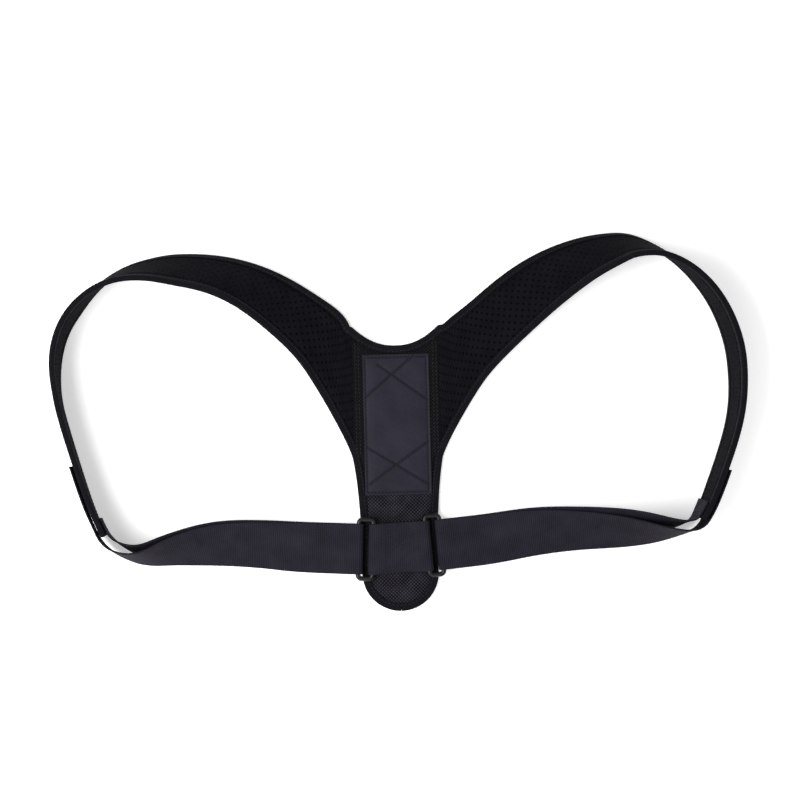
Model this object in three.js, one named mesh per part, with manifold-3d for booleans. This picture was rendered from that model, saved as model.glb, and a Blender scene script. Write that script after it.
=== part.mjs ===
// A posture corrector laid out on its body side: two padded shoulder wings sewn to a spine panel, taped round
// the edges, and two webbing straps that run through rings on the panel's tail and fasten back on the wings.
// Millimetres, +Z up out of the surface it lies on, +Y along the spine towards the neck, +X to the wearer's right.
import * as THREE from "three";
import { mergeVertices } from "three/addons/utils/BufferGeometryUtils.js";
import Module from "manifold-3d";

// Spine panel
const PANEL_WIDTH = 70;
const PANEL_HEIGHT = 210;
const NECK_POWER = 2.2;
const TAIL_WIDTH = 59;
const TAIL_POWER = 3;
const SEAM_ABOVE = 53.5;
const SEAM_BELOW = 50;
const CLOTH_THICK = 4.5;

// Wings, from the panel's seam along the middle of the band
const WING_WIDTH = 50;
const WING_END_WIDTH = 44;
const WING_LENGTH = 457;
const FLARE_LENGTH = 90;
const NECK_FLARE_POWER = 2.9;
const ARM_FLARE_POWER = 3.2;
const FAN_LENGTH = 112;
const FAN_POWERS = [1.5, 2];

// Edge tape
const TAPE_REACH = 5;
const TAPE_THICK = 0.8;
const TAPE_SINK = 0.1;
const PRESS_SLOPE = 1.5;
const PRESS_SHARE = 0.45;

// Patch on the spine
const PATCH_WIDTH = 53;
const PATCH_HEIGHT = 112;
const PATCH_THICK = 1;
const PATCH_BELOW_NECK = 6;

// Webbing straps and their hook tabs
const STRAP_WIDTH = 40;
const STRAP_THICK = 1.5;
const STRAP_LAP = 14;
const TIP_LAP_LEFT = 60;
const TIP_LAP_RIGHT = 43;
const TAB_LENGTH = 30;
const TAB_THICK = 0.8;

// Rings and the short webbing between them
const RING_HEIGHT = 51;
const RING_WIDTH = 15.5;
const RING_BAR = 4;
const RING_CORNER = 3;
const BAR_OUT = 33;
const RING_UP = 50;
const WEB_WIDTH = 40;
const WEB_SEWN_SHARE = 0.2;

// The lie of the loops: how far they reach from the spine and how far the shoulders stand above the rings
const REACH = 268.5;
const RISE = 233;
const CLEARANCE = 0.3;

// How finely the curved pieces are drawn
const STATION_STEP = 11;
const STRAP_STEP = 6.8;
const ROUND_SIDES = 8;
const TAIL_STEPS = 6;
const NECK_STEPS = 10;
const CORNER_STEPS = 4;
const WEB_STEPS = 10;
const SAMPLES_PER_ROW = 16;
const SMOOTH_PASSES = 40;
const HEADING_STEP = 1;
const CUT_PAST = 3;
const SAME_PLACE = 1e-9;

// From the seam to the far side. across: share of the way from seam to REACH; up: share of RISE above the rings;
// turn: degrees that the band is turned up from lying flat, its armhole edge off the surface.
const SHOULDER_COLUMNS = ["across", "up", "turn"];
const SHOULDER_ROWS = {
  right: [
    [0.0, 0.525, 0],
    [0.075, 0.64, 1],
    [0.15, 0.723, 4],
    [0.31, 0.862, 20],
    [0.465, 0.955, 42],
    [0.59, 0.998, 58],
    [0.66, 1.007, 68],
    [0.745, 0.988, 80],
    [0.82, 0.946, 87],
    [0.884, 0.886, 91],
    [0.937, 0.811, 93],
    [0.98, 0.71, 94],
    [1.001, 0.59, 94],
  ],
  left: [
    [0.0, 0.525, 0],
    [0.072, 0.67, 2],
    [0.148, 0.765, 20],
    [0.298, 0.88, 39],
    [0.445, 0.942, 52],
    [0.585, 0.963, 60],
    [0.665, 0.965, 68],
    [0.746, 0.955, 75],
    [0.817, 0.928, 81],
    [0.872, 0.89, 86],
    [0.927, 0.831, 90],
    [0.972, 0.757, 89],
    [0.996, 0.66, 87],
  ],
};

// From the far side to the ring's outer bar. across: share of the way from that bar to REACH; apart: share of
// STRAP_WIDTH between the two layers of strap; slide: share of it that the layer nearer the body moves towards
// the armhole; lift: share of the ring's height above the surface.
const STRAP_COLUMNS = ["across", "up", "turn", "apart", "slide", "lift"];
const STRAP_ROWS = {
  right: [
    [0.99, 0.41, 92, 0.2, 0.0, 0],
    [0.91, 0.18, 91, 0.2, 0.0, 0],
    [0.873, 0.098, 89, 0.21, 0.0, 0],
    [0.85, 0.065, 86, 0.2, 0.04, 0],
    [0.8, 0.048, 80, 0.18, 0.1, 0],
    [0.71, 0.042, 64, 0.14, 0.16, 0],
    [0.6, 0.045, 48, 0.09, 0.12, 0],
    [0.465, 0.049, 36, 0.06, 0.06, 0],
    [0.314, 0.043, 22, 0.06, 0.03, 0.1],
    [0.16, 0.021, 8, 0.07, 0.01, 0.5],
    [0.0, 0.008, 0, 0.12, 0.0, 1],
  ],
  left: [
    [0.992, 0.545, 83, 0.2, 0.0, 0],
    [0.968, 0.434, 83, 0.2, 0.0, 0],
    [0.9, 0.2, 82, 0.2, 0.0, 0],
    [0.865, 0.11, 81, 0.21, 0.0, 0],
    [0.838, 0.055, 82, 0.2, 0.0, 0],
    [0.79, 0.018, 80, 0.19, 0.0, 0],
    [0.716, -0.002, 70, 0.14, 0.02, 0],
    [0.617, 0.014, 52, 0.07, 0.03, 0],
    [0.468, 0.028, 30, 0.06, 0.03, 0],
    [0.317, 0.021, 20, 0.06, 0.02, 0.1],
    [0.2, 0.009, 9, 0.07, 0.01, 0.4],
    [0.0, -0.001, 0, 0.12, 0.0, 1],
  ],
};

const HALF_CLOTH = CLOTH_THICK / 2;
const HALF_STRAP = STRAP_THICK / 2;
const SEAM_OUT = (PANEL_WIDTH + CLEARANCE) / 2;
const TAPE_OUTSIDE = HALF_CLOTH - TAPE_SINK;
const TAPE_INSIDE = TAPE_OUTSIDE - TAPE_THICK;
const PRESSED_HALF = TAPE_INSIDE - CLEARANCE;
const PRESSED_REACH = TAPE_REACH + CLEARANCE;
const WRAP_RADIUS = RING_BAR / 2 + CLEARANCE + HALF_STRAP;
const RING_Z = CLOTH_THICK + CLEARANCE + HALF_STRAP + WRAP_RADIUS;
const STRAP_BEHIND_WING = HALF_CLOTH + 2 * CLEARANCE + HALF_STRAP;
const STRAP_BEFORE_WING = HALF_CLOTH + CLEARANCE + TAB_THICK + CLEARANCE + HALF_STRAP;

const UP = new THREE.Vector3(0, 0, 1);
const wasm = await Module();
wasm.setup();

const mix = (a, b, share) => a + (b - a) * share;
const ease = (value, from, to) => THREE.MathUtils.smoothstep(value, from, to);
const moved = (point, ...steps) => {
  const end = point.clone();
  for (const [direction, length] of steps) end.addScaledVector(direction, length);
  return end;
};

// A value between the rows of a table, on one smooth curve through them.
function between(rows, column, at) {
  const last = rows.length - 1;
  const i = Math.min(Math.floor(at), last - 1);
  const value = (k) => rows[THREE.MathUtils.clamp(k, 0, last)][column];
  const t = at - i;
  const [a, b, c, d] = [value(i - 1), value(i), value(i + 1), value(i + 2)];
  return b + 0.5 * t * (c - a + t * (2 * a - 5 * b + 4 * c - d + t * (3 * (b - c) + d - a)));
}

// The rows of one side as places and angles, shoulder first and then strap.
function rowsOf(side) {
  const named = (columns, row) => Object.fromEntries(columns.map((name, k) => [name, row[k]]));
  const strapAtWing = STRAP_ROWS[side][0].slice(SHOULDER_COLUMNS.length);
  const shoulder = SHOULDER_ROWS[side].map((row) => {
    const { across, up, turn } = named(SHOULDER_COLUMNS, row);
    return [mix(SEAM_OUT, REACH, across), RING_UP + RISE * up, turn, ...strapAtWing];
  });
  const strap = STRAP_ROWS[side].map((row) => {
    const { across, up, turn, apart, slide, lift } = named(STRAP_COLUMNS, row);
    return [mix(BAR_OUT, REACH, across), RING_UP + RISE * up, turn, apart, slide, lift];
  });
  return [...shoulder, ...strap];
}

// Sampled rows with their bends evened out, as cloth lies. The two ends stay where they are.
function evened(samples) {
  let now = samples;
  for (let pass = 0; pass < SMOOTH_PASSES; pass++) {
    const middle = now.slice(1, -1).map((row, k) => {
      return row.map((value, column) => (now[k][column] + 2 * value + now[k + 2][column]) / 4);
    });
    now = [now[0], ...middle, now[now.length - 1]];
  }
  return now;
}

// The band of one side: its middle line sampled closely, with the distance from the seam at each sample.
function loopOf(side) {
  const rows = rowsOf(side);
  const count = (rows.length - 1) * SAMPLES_PER_ROW;
  const places = Array.from({ length: count + 1 }, (_, k) => {
    return rows[0].map((_, column) => between(rows, column, k / SAMPLES_PER_ROW));
  });
  const samples = [];
  let along = 0;
  for (const [x, y, turn, apart, slide, lift] of evened(places)) {
    const last = samples[samples.length - 1];
    if (last) along += Math.hypot(x - last.x, y - last.y);
    samples.push({ x, y, turn, apart, slide, lift, along });
  }
  samples.forEach((s, k) => {
    const before = samples[Math.max(k - 1, 0)];
    const after = samples[Math.min(k + 1, count)];
    s.heading = Math.atan2(after.y - before.y, after.x - before.x);
    if (k) s.heading += 2 * Math.PI * Math.round((before.heading - s.heading) / (2 * Math.PI));
  });
  return { mirror: side === "left" ? -1 : 1, samples, length: along };
}

// Where the band is at a distance from the seam: its middle, the direction across it towards the armhole, how far
// it reaches from there to either edge, and how far the layers of strap lie behind and before its middle.
function placeAt(loop, along) {
  const { samples, mirror } = loop;
  const k = Math.max(1, samples.findIndex((s) => s.along >= along - SAME_PLACE));
  const [a, b] = [samples[k - 1], samples[k]];
  const share = THREE.MathUtils.clamp((along - a.along) / (b.along - a.along), 0, 1);
  const s = Object.fromEntries(Object.keys(a).map((name) => [name, mix(a[name], b[name], share)]));

  const fan = (1 - Math.min(along / FAN_LENGTH, 1) ** FAN_POWERS[0]) ** FAN_POWERS[1];
  const flare = Math.max(0, 1 - along / FLARE_LENGTH);
  const half = mix(WING_WIDTH, WING_END_WIDTH, Math.min(along / WING_LENGTH, 1)) / 2;
  const neckHalf = mix(half, SEAM_ABOVE, flare ** NECK_FLARE_POWER);
  const armHalf = mix(half, SEAM_BELOW, flare ** ARM_FLARE_POWER);
  const aim = mix(s.heading - Math.PI / 2, -Math.PI / 2, fan);
  const turn = THREE.MathUtils.degToRad(s.turn);

  const pastWing = ease(along, WING_LENGTH, WING_LENGTH + STRAP_WIDTH);
  const onWing = 1 - ease(along, WING_LENGTH, WING_LENGTH + STRAP_WIDTH / 2);
  const nearBar = ease(along, loop.length - STRAP_WIDTH / 2, loop.length);
  const free = (s.apart * STRAP_WIDTH) / 2;
  const behind = mix(mix(free, STRAP_BEHIND_WING, onWing), WRAP_RADIUS, nearBar);
  const before = mix(mix(free, STRAP_BEFORE_WING, onWing), WRAP_RADIUS, nearBar);
  const halfWidth = mix(neckHalf + CLEARANCE + TAPE_THICK, STRAP_WIDTH / 2, pastWing);
  const halfThick = mix(HALF_CLOTH, behind + HALF_STRAP, pastWing);
  const offSurface = CLEARANCE * ease(along, 0, WING_WIDTH) * (1 - pastWing);
  const lifted = offSurface + s.lift * (CLOTH_THICK + CLEARANCE);
  const z = lifted + halfWidth * Math.sin(turn) + halfThick * Math.abs(Math.cos(turn));
  return {
    middle: new THREE.Vector3(mirror * s.x, s.y, z),
    across: new THREE.Vector3(
      mirror * Math.cos(aim) * Math.cos(turn),
      Math.sin(aim) * Math.cos(turn),
      Math.sin(turn),
    ),
    level: new THREE.Vector3(mirror * Math.cos(s.heading), Math.sin(s.heading), 0),
    neckHalf,
    armHalf,
    behind,
    before,
    slide: s.slide * STRAP_WIDTH * (1 - onWing) * (1 - nearBar),
  };
}

// The same with the way that the band heads and the direction out of its outer face.
function stationAt(loop, along) {
  const place = placeAt(loop, along);
  const from = placeAt(loop, Math.max(along - HEADING_STEP, 0)).middle;
  const to = placeAt(loop, Math.min(along + HEADING_STEP, loop.length)).middle;
  const atRing = along === loop.length;
  const ahead = atRing ? place.level : moved(to, [from, -1]).normalize();
  const out = new THREE.Vector3().crossVectors(place.across, ahead).multiplyScalar(loop.mirror).normalize();
  return { ...place, ahead, out: along === 0 ? UP : out };
}

// Stations from one distance to another, in equal steps.
function stations(loop, from, to, step = STATION_STEP) {
  const steps = Math.max(2, Math.round(Math.abs(to - from) / step));
  return Array.from({ length: steps + 1 }, (_, k) => stationAt(loop, mix(from, to, k / steps)));
}

// A closed mesh, turned so that its faces point out.
function closedMesh(points, triangles) {
  const volume = triangles.reduce((sum, [a, b, c]) => {
    return sum + points[a].dot(new THREE.Vector3().crossVectors(points[b], points[c]));
  }, 0);
  const order = volume < 0 ? triangles.map(([a, b, c]) => [a, c, b]) : triangles;
  const geometry = new THREE.BufferGeometry().setFromPoints(points);
  geometry.setIndex(order.flat());
  return geometry;
}

// A solid through sections of the same number of points. flat is the section's outline, for the two ends.
function loft(sections, flat, ring = false) {
  const size = sections[0].length;
  const triangles = [];
  const spans = ring ? sections.length : sections.length - 1;
  for (let k = 0; k < spans; k++) {
    const here = k * size;
    const next = ((k + 1) % sections.length) * size;
    for (let i = 0; i < size; i++) {
      const j = (i + 1) % size;
      triangles.push([here + i, here + j, next + j], [here + i, next + j, next + i]);
    }
  }
  if (!ring) {
    const end = (sections.length - 1) * size;
    const outline = flat.map(([u, v]) => new THREE.Vector2(u, v));
    const clockwise = THREE.ShapeUtils.isClockWise(outline);
    const cap = THREE.ShapeUtils.triangulateShape(clockwise ? outline.reverse() : outline, []);
    const index = (i) => (clockwise ? size - 1 - i : i);
    for (const [a, b, c] of cap.map((face) => face.map(index))) {
      const sameWay = clockwise ? [a, b, c] : [c, b, a];
      triangles.push(sameWay, [...sameWay].reverse().map((i) => end + i));
    }
  }
  return closedMesh(sections.flat(), triangles);
}

// The outline of a section on a station's two directions.
const placed = (origin, sideways, outward, outline) =>
  outline.map(([u, v]) => moved(origin, [sideways, u], [outward, v]));

// An edge of the cloth as a path, with the direction square to the cloth and the way out past the edge at each
// point. side is 1 where the cloth lies to the right of the path, seen from its outer face, and -1 to the left.
function edgePath(points, side) {
  return points.map(({ point, inward }, k) => {
    const steps = [k - 1, k].filter((i) => i >= 0 && i < points.length - 1);
    const along = steps.reduce((sum, i) => {
      return sum.add(moved(points[i + 1].point, [points[i].point, -1]).normalize());
    }, new THREE.Vector3());
    const square = inward && new THREE.Vector3().crossVectors(inward, along).multiplyScalar(side);
    const face = square ? square.normalize() : UP;
    const away = new THREE.Vector3().crossVectors(face, along).multiplyScalar(side).normalize();
    return { point, face, away };
  });
}

// The points of one edge of a wing, from the seam to the wing's end: sign is 1 at the armhole and -1 at the neck.
const wingEdge = (list, sign) =>
  list.map((s) => ({
    point: moved(s.middle, [s.across, sign > 0 ? s.armHalf : -s.neckHalf]),
    inward: s.out === UP ? null : s.across.clone().multiplyScalar(-sign),
  }));

// A wing: padded cloth, pressed thin under the tape along both edges.
function makeWing(list, neckAways, armAways) {
  const outline = (s, k) => {
    const edgeAt = (aways, half, depth) => {
      return half - Math.min(depth / Math.abs(aways[k].dot(s.across)), half * PRESS_SHARE);
    };
    const depths = [0, PRESSED_REACH, PRESSED_REACH + PRESS_SLOPE];
    const [neck, neckPress, neckFull] = depths.map((depth) => -edgeAt(neckAways, s.neckHalf, depth));
    const [arm, armPress, armFull] = depths.map((depth) => edgeAt(armAways, s.armHalf, depth));
    const lower = [
      [neck, -PRESSED_HALF],
      [neckPress, -PRESSED_HALF],
      [neckFull, -HALF_CLOTH],
      [armFull, -HALF_CLOTH],
      [armPress, -PRESSED_HALF],
      [arm, -PRESSED_HALF],
    ];
    return [...lower, ...lower.map(([u, v]) => [u, -v]).reverse()];
  };
  const outlines = list.map(outline);
  return loft(list.map((s, k) => placed(s.middle, s.across, s.out, outlines[k])), outlines[0]);
}

// Half of the tail's outline, from the seam's foot down the side and round to the middle of the bottom.
function tailSide(footY, mirror) {
  const radius = TAIL_WIDTH / 2;
  const points = [];
  for (let k = 0; k <= TAIL_STEPS; k++) {
    const share = k / TAIL_STEPS;
    const x = mix(radius, PANEL_WIDTH / 2, (1 - share) ** TAIL_POWER);
    points.push([mirror * x, mix(footY, radius, share)]);
  }
  for (let k = 1; k <= TAIL_STEPS; k++) {
    const angle = ((k / TAIL_STEPS) * Math.PI) / 2;
    points.push([mirror * radius * Math.cos(angle), radius * (1 - Math.sin(angle))]);
  }
  return points;
}

// The neck edge of the panel from the left seam to the right one, dipping in the middle.
function neckSide(topY) {
  const half = PANEL_WIDTH / 2;
  return Array.from({ length: NECK_STEPS + 1 }, (_, k) => {
    const x = mix(-half, half, k / NECK_STEPS);
    return [x, mix(PANEL_HEIGHT, topY, Math.abs(x / half) ** NECK_POWER)];
  });
}

// Points of the panel's outline, half a cloth's thickness above the surface.
const level = (outline) => outline.map(([x, y]) => ({ point: new THREE.Vector3(x, y, HALF_CLOTH) }));

const toSolid = (geometry) => {
  const bare = mergeVertices(geometry.clone().deleteAttribute("normal").deleteAttribute("uv"), 1e-4);
  const mesh = { numProp: 3, vertProperties: bare.attributes.position.array };
  return new wasm.Manifold(new wasm.Mesh({ ...mesh, triVerts: new Uint32Array(bare.index.array) }));
};

const fromSolid = (solid) => {
  const { vertProperties, triVerts } = solid.getMesh();
  const geometry = new THREE.BufferGeometry();
  geometry.setAttribute("position", new THREE.BufferAttribute(vertProperties, 3));
  return geometry.setIndex(new THREE.BufferAttribute(triVerts, 1));
};

// What the tape presses out of the cloth along an edge: a low band above and one below.
function pressedAway(path) {
  return [1, -1].map((side) => {
    const outline = [
      [CUT_PAST, side * PRESSED_HALF],
      [-PRESSED_REACH, side * PRESSED_HALF],
      [-PRESSED_REACH - PRESS_SLOPE, side * HALF_CLOTH],
      [-PRESSED_REACH - PRESS_SLOPE, side * (HALF_CLOTH + CUT_PAST)],
      [CUT_PAST, side * (HALF_CLOTH + CUT_PAST)],
    ];
    return toSolid(loft(path.map((p) => placed(p.point, p.away, p.face, outline)), outline));
  });
}

// The panel: padded cloth with a round tail, pressed thin under the tape everywhere but at the seams.
function makePanel(outline, paths) {
  const shape = new THREE.Shape(outline.map(([x, y]) => new THREE.Vector2(x, y)));
  const plate = new THREE.ExtrudeGeometry(shape, { depth: CLOTH_THICK, bevelEnabled: false });
  return fromSolid(paths.flatMap(pressedAway).reduce((solid, band) => solid.subtract(band), toSolid(plate)));
}

// The tape: a channel folded over an edge of the cloth.
function makeTape(path) {
  const outer = TAPE_OUTSIDE;
  const fold = CLEARANCE + TAPE_THICK;
  const round = TAPE_THICK;
  const upper = [
    [CLEARANCE, TAPE_INSIDE],
    [-TAPE_REACH, TAPE_INSIDE],
    [-TAPE_REACH, outer],
    [fold - round, outer],
    [fold, outer - round],
  ];
  const outline = [...upper, ...upper.map(([u, v]) => [u, -v]).reverse()];
  return loft(path.map((p) => placed(p.point, p.away, p.face, outline)), outline);
}

// A strip of webbing as a section: its width along the first direction and its thickness along the second.
const stripOutline = (width) => [
  [-width / 2, -HALF_STRAP],
  [width / 2, -HALF_STRAP],
  [width / 2, HALF_STRAP],
  [-width / 2, HALF_STRAP],
];

// A strap: along the body side of the wing's end, under the ring's outer bar, up through the ring and back to
// the outer face of the wing.
function makeStrap(loop, tipLap) {
  const outline = stripOutline(STRAP_WIDTH);
  const inner = stations(loop, WING_LENGTH - STRAP_LAP, loop.length, STRAP_STEP).map((s) => {
    const at = moved(s.middle, [s.out, -s.behind], [s.across, s.slide]);
    return placed(at, s.across, s.out.clone().negate(), outline);
  });
  const bar = stationAt(loop, loop.length);
  const wrap = [];
  for (let k = 1; k < ROUND_SIDES; k++) {
    const angle = Math.PI * (k / ROUND_SIDES - 0.5);
    const away = moved(new THREE.Vector3(), [bar.ahead, Math.cos(angle)], [bar.out, Math.sin(angle)]);
    wrap.push(placed(moved(bar.middle, [away, WRAP_RADIUS]), bar.across, away, outline));
  }
  const outer = stations(loop, loop.length, WING_LENGTH - tipLap, STRAP_STEP).map((s) => {
    return placed(moved(s.middle, [s.out, s.before]), s.across, s.out, outline);
  });
  return loft([...inner, ...wrap, ...outer], outline);
}

// The hook tab under the strap's tip, lying on the wing.
function makeTab(loop, tipLap) {
  const start = WING_LENGTH - tipLap + CLEARANCE;
  const half = WING_END_WIDTH / 2 - PRESSED_REACH - PRESS_SLOPE - CLEARANCE;
  const outline = [
    [-half, 0],
    [half, 0],
    [half, TAB_THICK],
    [-half, TAB_THICK],
  ];
  const list = stations(loop, start, start + TAB_LENGTH);
  const seat = HALF_CLOTH + CLEARANCE;
  return loft(list.map((s) => placed(moved(s.middle, [s.out, seat]), s.across, s.out, outline)), outline);
}

// A ring: a round bar bent to a rectangle with round corners, its outer bar held in the strap's fold.
function makeRing(bar) {
  const halfAlong = (RING_HEIGHT - RING_BAR) / 2;
  const halfAcross = (RING_WIDTH - RING_BAR) / 2;
  const centre = moved(bar.middle, [bar.ahead, halfAcross]);
  const outline = Array.from({ length: ROUND_SIDES }, (_, k) => {
    const angle = ((k + 0.5) / ROUND_SIDES) * 2 * Math.PI;
    return [(RING_BAR / 2) * Math.cos(angle), (RING_BAR / 2) * Math.sin(angle)];
  });
  const sections = [];
  for (let corner = 0; corner < 4; corner++) {
    for (let k = 0; k <= CORNER_STEPS; k++) {
      const angle = (corner + k / CORNER_STEPS) * (Math.PI / 2);
      const middle = (corner + 0.5) * (Math.PI / 2);
      const pivot = moved(
        centre,
        [bar.across, Math.sign(Math.cos(middle)) * (halfAlong - RING_CORNER)],
        [bar.ahead, Math.sign(Math.sin(middle)) * (halfAcross - RING_CORNER)],
      );
      const away = moved(new THREE.Vector3(), [bar.across, Math.cos(angle)], [bar.ahead, Math.sin(angle)]);
      sections.push(placed(moved(pivot, [away, RING_CORNER]), away, UP, outline));
    }
  }
  return loft(sections, outline, true);
}

// The short webbing between the rings: one closed band round both inner bars, pinched flat on the panel.
function makeWeb(leftBar, rightBar) {
  const outline = stripOutline(WEB_WIDTH);
  const [left, right] = [leftBar, rightBar].map((bar) => ({
    middle: moved(bar.middle, [bar.ahead, RING_WIDTH - RING_BAR]),
    away: bar.ahead.clone().negate(),
    across: bar.across,
  }));
  const low = RING_Z - WRAP_RADIUS;
  const high = RING_Z + WRAP_RADIUS;
  const span = (from, to, height, outward) => {
    return Array.from({ length: WEB_STEPS + 1 }, (_, k) => {
      const share = k / WEB_STEPS;
      const at = from.middle.clone().lerp(to.middle, share).setZ(height(share));
      return placed(at, from.across.clone().lerp(to.across, share).normalize(), outward, outline);
    });
  };
  const wrap = (end, from, to) =>
    Array.from({ length: ROUND_SIDES - 1 }, (_, k) => {
      const angle = mix(from, to, (k + 1) / ROUND_SIDES);
      const out = moved(new THREE.Vector3(), [end.away, Math.cos(angle)], [UP, Math.sin(angle)]);
      return placed(moved(end.middle, [out, WRAP_RADIUS]), end.across, out, outline);
    });
  const sewn = low + STRAP_THICK + CLEARANCE;
  const bulge = (share) => mix(sewn, high, ease(Math.abs(2 * share - 1), WEB_SEWN_SHARE, 1));
  const sections = [
    ...span(left, right, () => low, UP.clone().negate()),
    ...wrap(right, -Math.PI / 2, Math.PI / 2),
    ...span(right, left, bulge, UP),
    ...wrap(left, Math.PI / 2, -Math.PI / 2),
  ];
  return loft(sections, outline, true);
}

function makePatch() {
  const geometry = new THREE.BoxGeometry(PATCH_WIDTH, PATCH_HEIGHT, PATCH_THICK);
  const y = PANEL_HEIGHT - PATCH_BELOW_NECK - PATCH_HEIGHT / 2;
  return geometry.translate(0, y, CLOTH_THICK + CLEARANCE + PATCH_THICK / 2);
}

const neoprene = { color: 0x1b1a20, roughness: 0.85, metalness: 0 };
const tape = { color: 0x2a2930, roughness: 0.75, metalness: 0 };
const webbing = { color: 0x232229, roughness: 0.8, metalness: 0 };
const satin = { color: 0x3a3842, roughness: 0.55, metalness: 0 };
const plastic = { color: 0x111114, roughness: 0.4, metalness: 0 };

const laid = new THREE.Group();
function add(name, geometry, finish) {
  const mesh = new THREE.Mesh(geometry, new THREE.MeshStandardMaterial(finish));
  mesh.geometry.computeVertexNormals();
  mesh.name = name;
  laid.add(mesh);
}

// The two bands, their stations along the wings, and the edges that the tape follows
const loops = { left: loopOf("left"), right: loopOf("right") };
const wings = Object.fromEntries(
  Object.entries(loops).map(([side, loop]) => [side, stations(loop, 0, WING_LENGTH)]),
);
const seamY = RING_UP + RISE * SHOULDER_ROWS.right[0][1];
const neckOutline = neckSide(seamY + SEAM_ABOVE);
const tailOutline = [1, -1].map((mirror) => tailSide(seamY - SEAM_BELOW, mirror));
const neckEdge = edgePath(
  [...wingEdge(wings.left, -1).reverse(), ...level(neckOutline.slice(1, -1)), ...wingEdge(wings.right, -1)],
  1,
);
const armEdge = edgePath(
  [
    ...wingEdge(wings.right, 1).reverse(),
    ...level(tailOutline[0].slice(1)),
    ...level(tailOutline[1].slice(1, -1).reverse()),
    ...wingEdge(wings.left, 1),
  ],
  1,
);
const tailMiddle = wings.right.length + 2 * TAIL_STEPS - 1;

const ofWing = {
  left: { neck: neckEdge.slice(0, wings.left.length).reverse(), arm: armEdge.slice(-wings.left.length) },
  right: { neck: neckEdge.slice(-wings.right.length), arm: armEdge.slice(0, wings.right.length).reverse() },
};
for (const [side, list] of Object.entries(wings)) {
  const { neck, arm } = ofWing[side];
  add(`wing_${side}`, makeWing(list, neck.map((p) => p.away), arm.map((p) => p.away)), neoprene);
}

// The tape round the armholes and the tail meets in a butt at the middle of the tail.
const tapeEnd = (mirror) => {
  const end = armEdge[tailMiddle];
  return { ...end, point: end.point.clone().setX((mirror * CLEARANCE) / 2) };
};
add("tape_neck", makeTape(neckEdge), tape);
add("tape_arm_right", makeTape([...armEdge.slice(0, tailMiddle), tapeEnd(1)]), tape);
add("tape_arm_left", makeTape([tapeEnd(-1), ...armEdge.slice(tailMiddle + 1)]), tape);

const neckStart = wings.left.length - 2;
const panelOutline = [
  ...neckOutline,
  ...tailOutline[0],
  ...tailOutline[1].slice(0, -1).reverse(),
];
const neckPath = neckEdge.slice(neckStart, neckStart + NECK_STEPS + 3);
const tailPath = armEdge.slice(wings.right.length - 2, armEdge.length - wings.left.length + 2);
add("spine_panel", makePanel(panelOutline, [neckPath, tailPath]), neoprene);
add("spine_patch", makePatch(), satin);

const bars = {};
for (const [side, tipLap] of Object.entries({ left: TIP_LAP_LEFT, right: TIP_LAP_RIGHT })) {
  const loop = loops[side];
  bars[side] = stationAt(loop, loop.length);
  add(`strap_${side}`, makeStrap(loop, tipLap), webbing);
  add(`hook_tab_${side}`, makeTab(loop, tipLap), satin);
  add(`ring_${side}`, makeRing(bars[side]), plastic);
}
add("ring_web", makeWeb(bars.left, bars.right), webbing);

// The origin is the middle of the footprint, on the surface that the piece lies on.
const box = new THREE.Box3().setFromObject(laid);
laid.position.set(-(box.min.x + box.max.x) / 2, -(box.min.y + box.max.y) / 2, -box.min.z);

const part = new THREE.Group();
part.add(laid);
export default part;
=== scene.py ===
# %% [markdown]
# # A posture corrector, laid on its body side
#
# A posture corrector is a cloth harness that draws the shoulders back. Two padded wings are sewn to a
# narrow spine panel and bend round the armholes, woven tape binds every edge, and two webbing straps run
# through plastic rings on the panel's tail and fasten back on the wings with hook tape. This lesson dresses
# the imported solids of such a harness: each soft solid is replaced by a finer piece of the same shape, with
# its pads, seams and stitches, and every piece gets a material made for its real finish.

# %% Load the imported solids
import math

import bmesh
import bpy
import numpy as np
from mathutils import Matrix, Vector


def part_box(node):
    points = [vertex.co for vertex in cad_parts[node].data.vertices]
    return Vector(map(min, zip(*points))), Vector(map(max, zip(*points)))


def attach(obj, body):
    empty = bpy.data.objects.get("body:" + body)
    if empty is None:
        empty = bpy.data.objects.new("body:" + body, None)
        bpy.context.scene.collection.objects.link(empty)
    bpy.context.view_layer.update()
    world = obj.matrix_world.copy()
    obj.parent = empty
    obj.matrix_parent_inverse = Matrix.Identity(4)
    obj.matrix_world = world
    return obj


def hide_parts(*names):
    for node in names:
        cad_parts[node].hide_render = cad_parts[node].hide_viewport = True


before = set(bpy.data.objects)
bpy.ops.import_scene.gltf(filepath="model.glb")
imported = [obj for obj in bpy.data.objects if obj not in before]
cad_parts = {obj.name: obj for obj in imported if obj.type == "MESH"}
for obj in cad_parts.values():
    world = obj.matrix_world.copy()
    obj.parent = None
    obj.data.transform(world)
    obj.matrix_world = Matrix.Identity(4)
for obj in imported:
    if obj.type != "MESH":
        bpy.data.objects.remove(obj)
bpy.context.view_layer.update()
print("packed nodes:", len(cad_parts))
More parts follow.
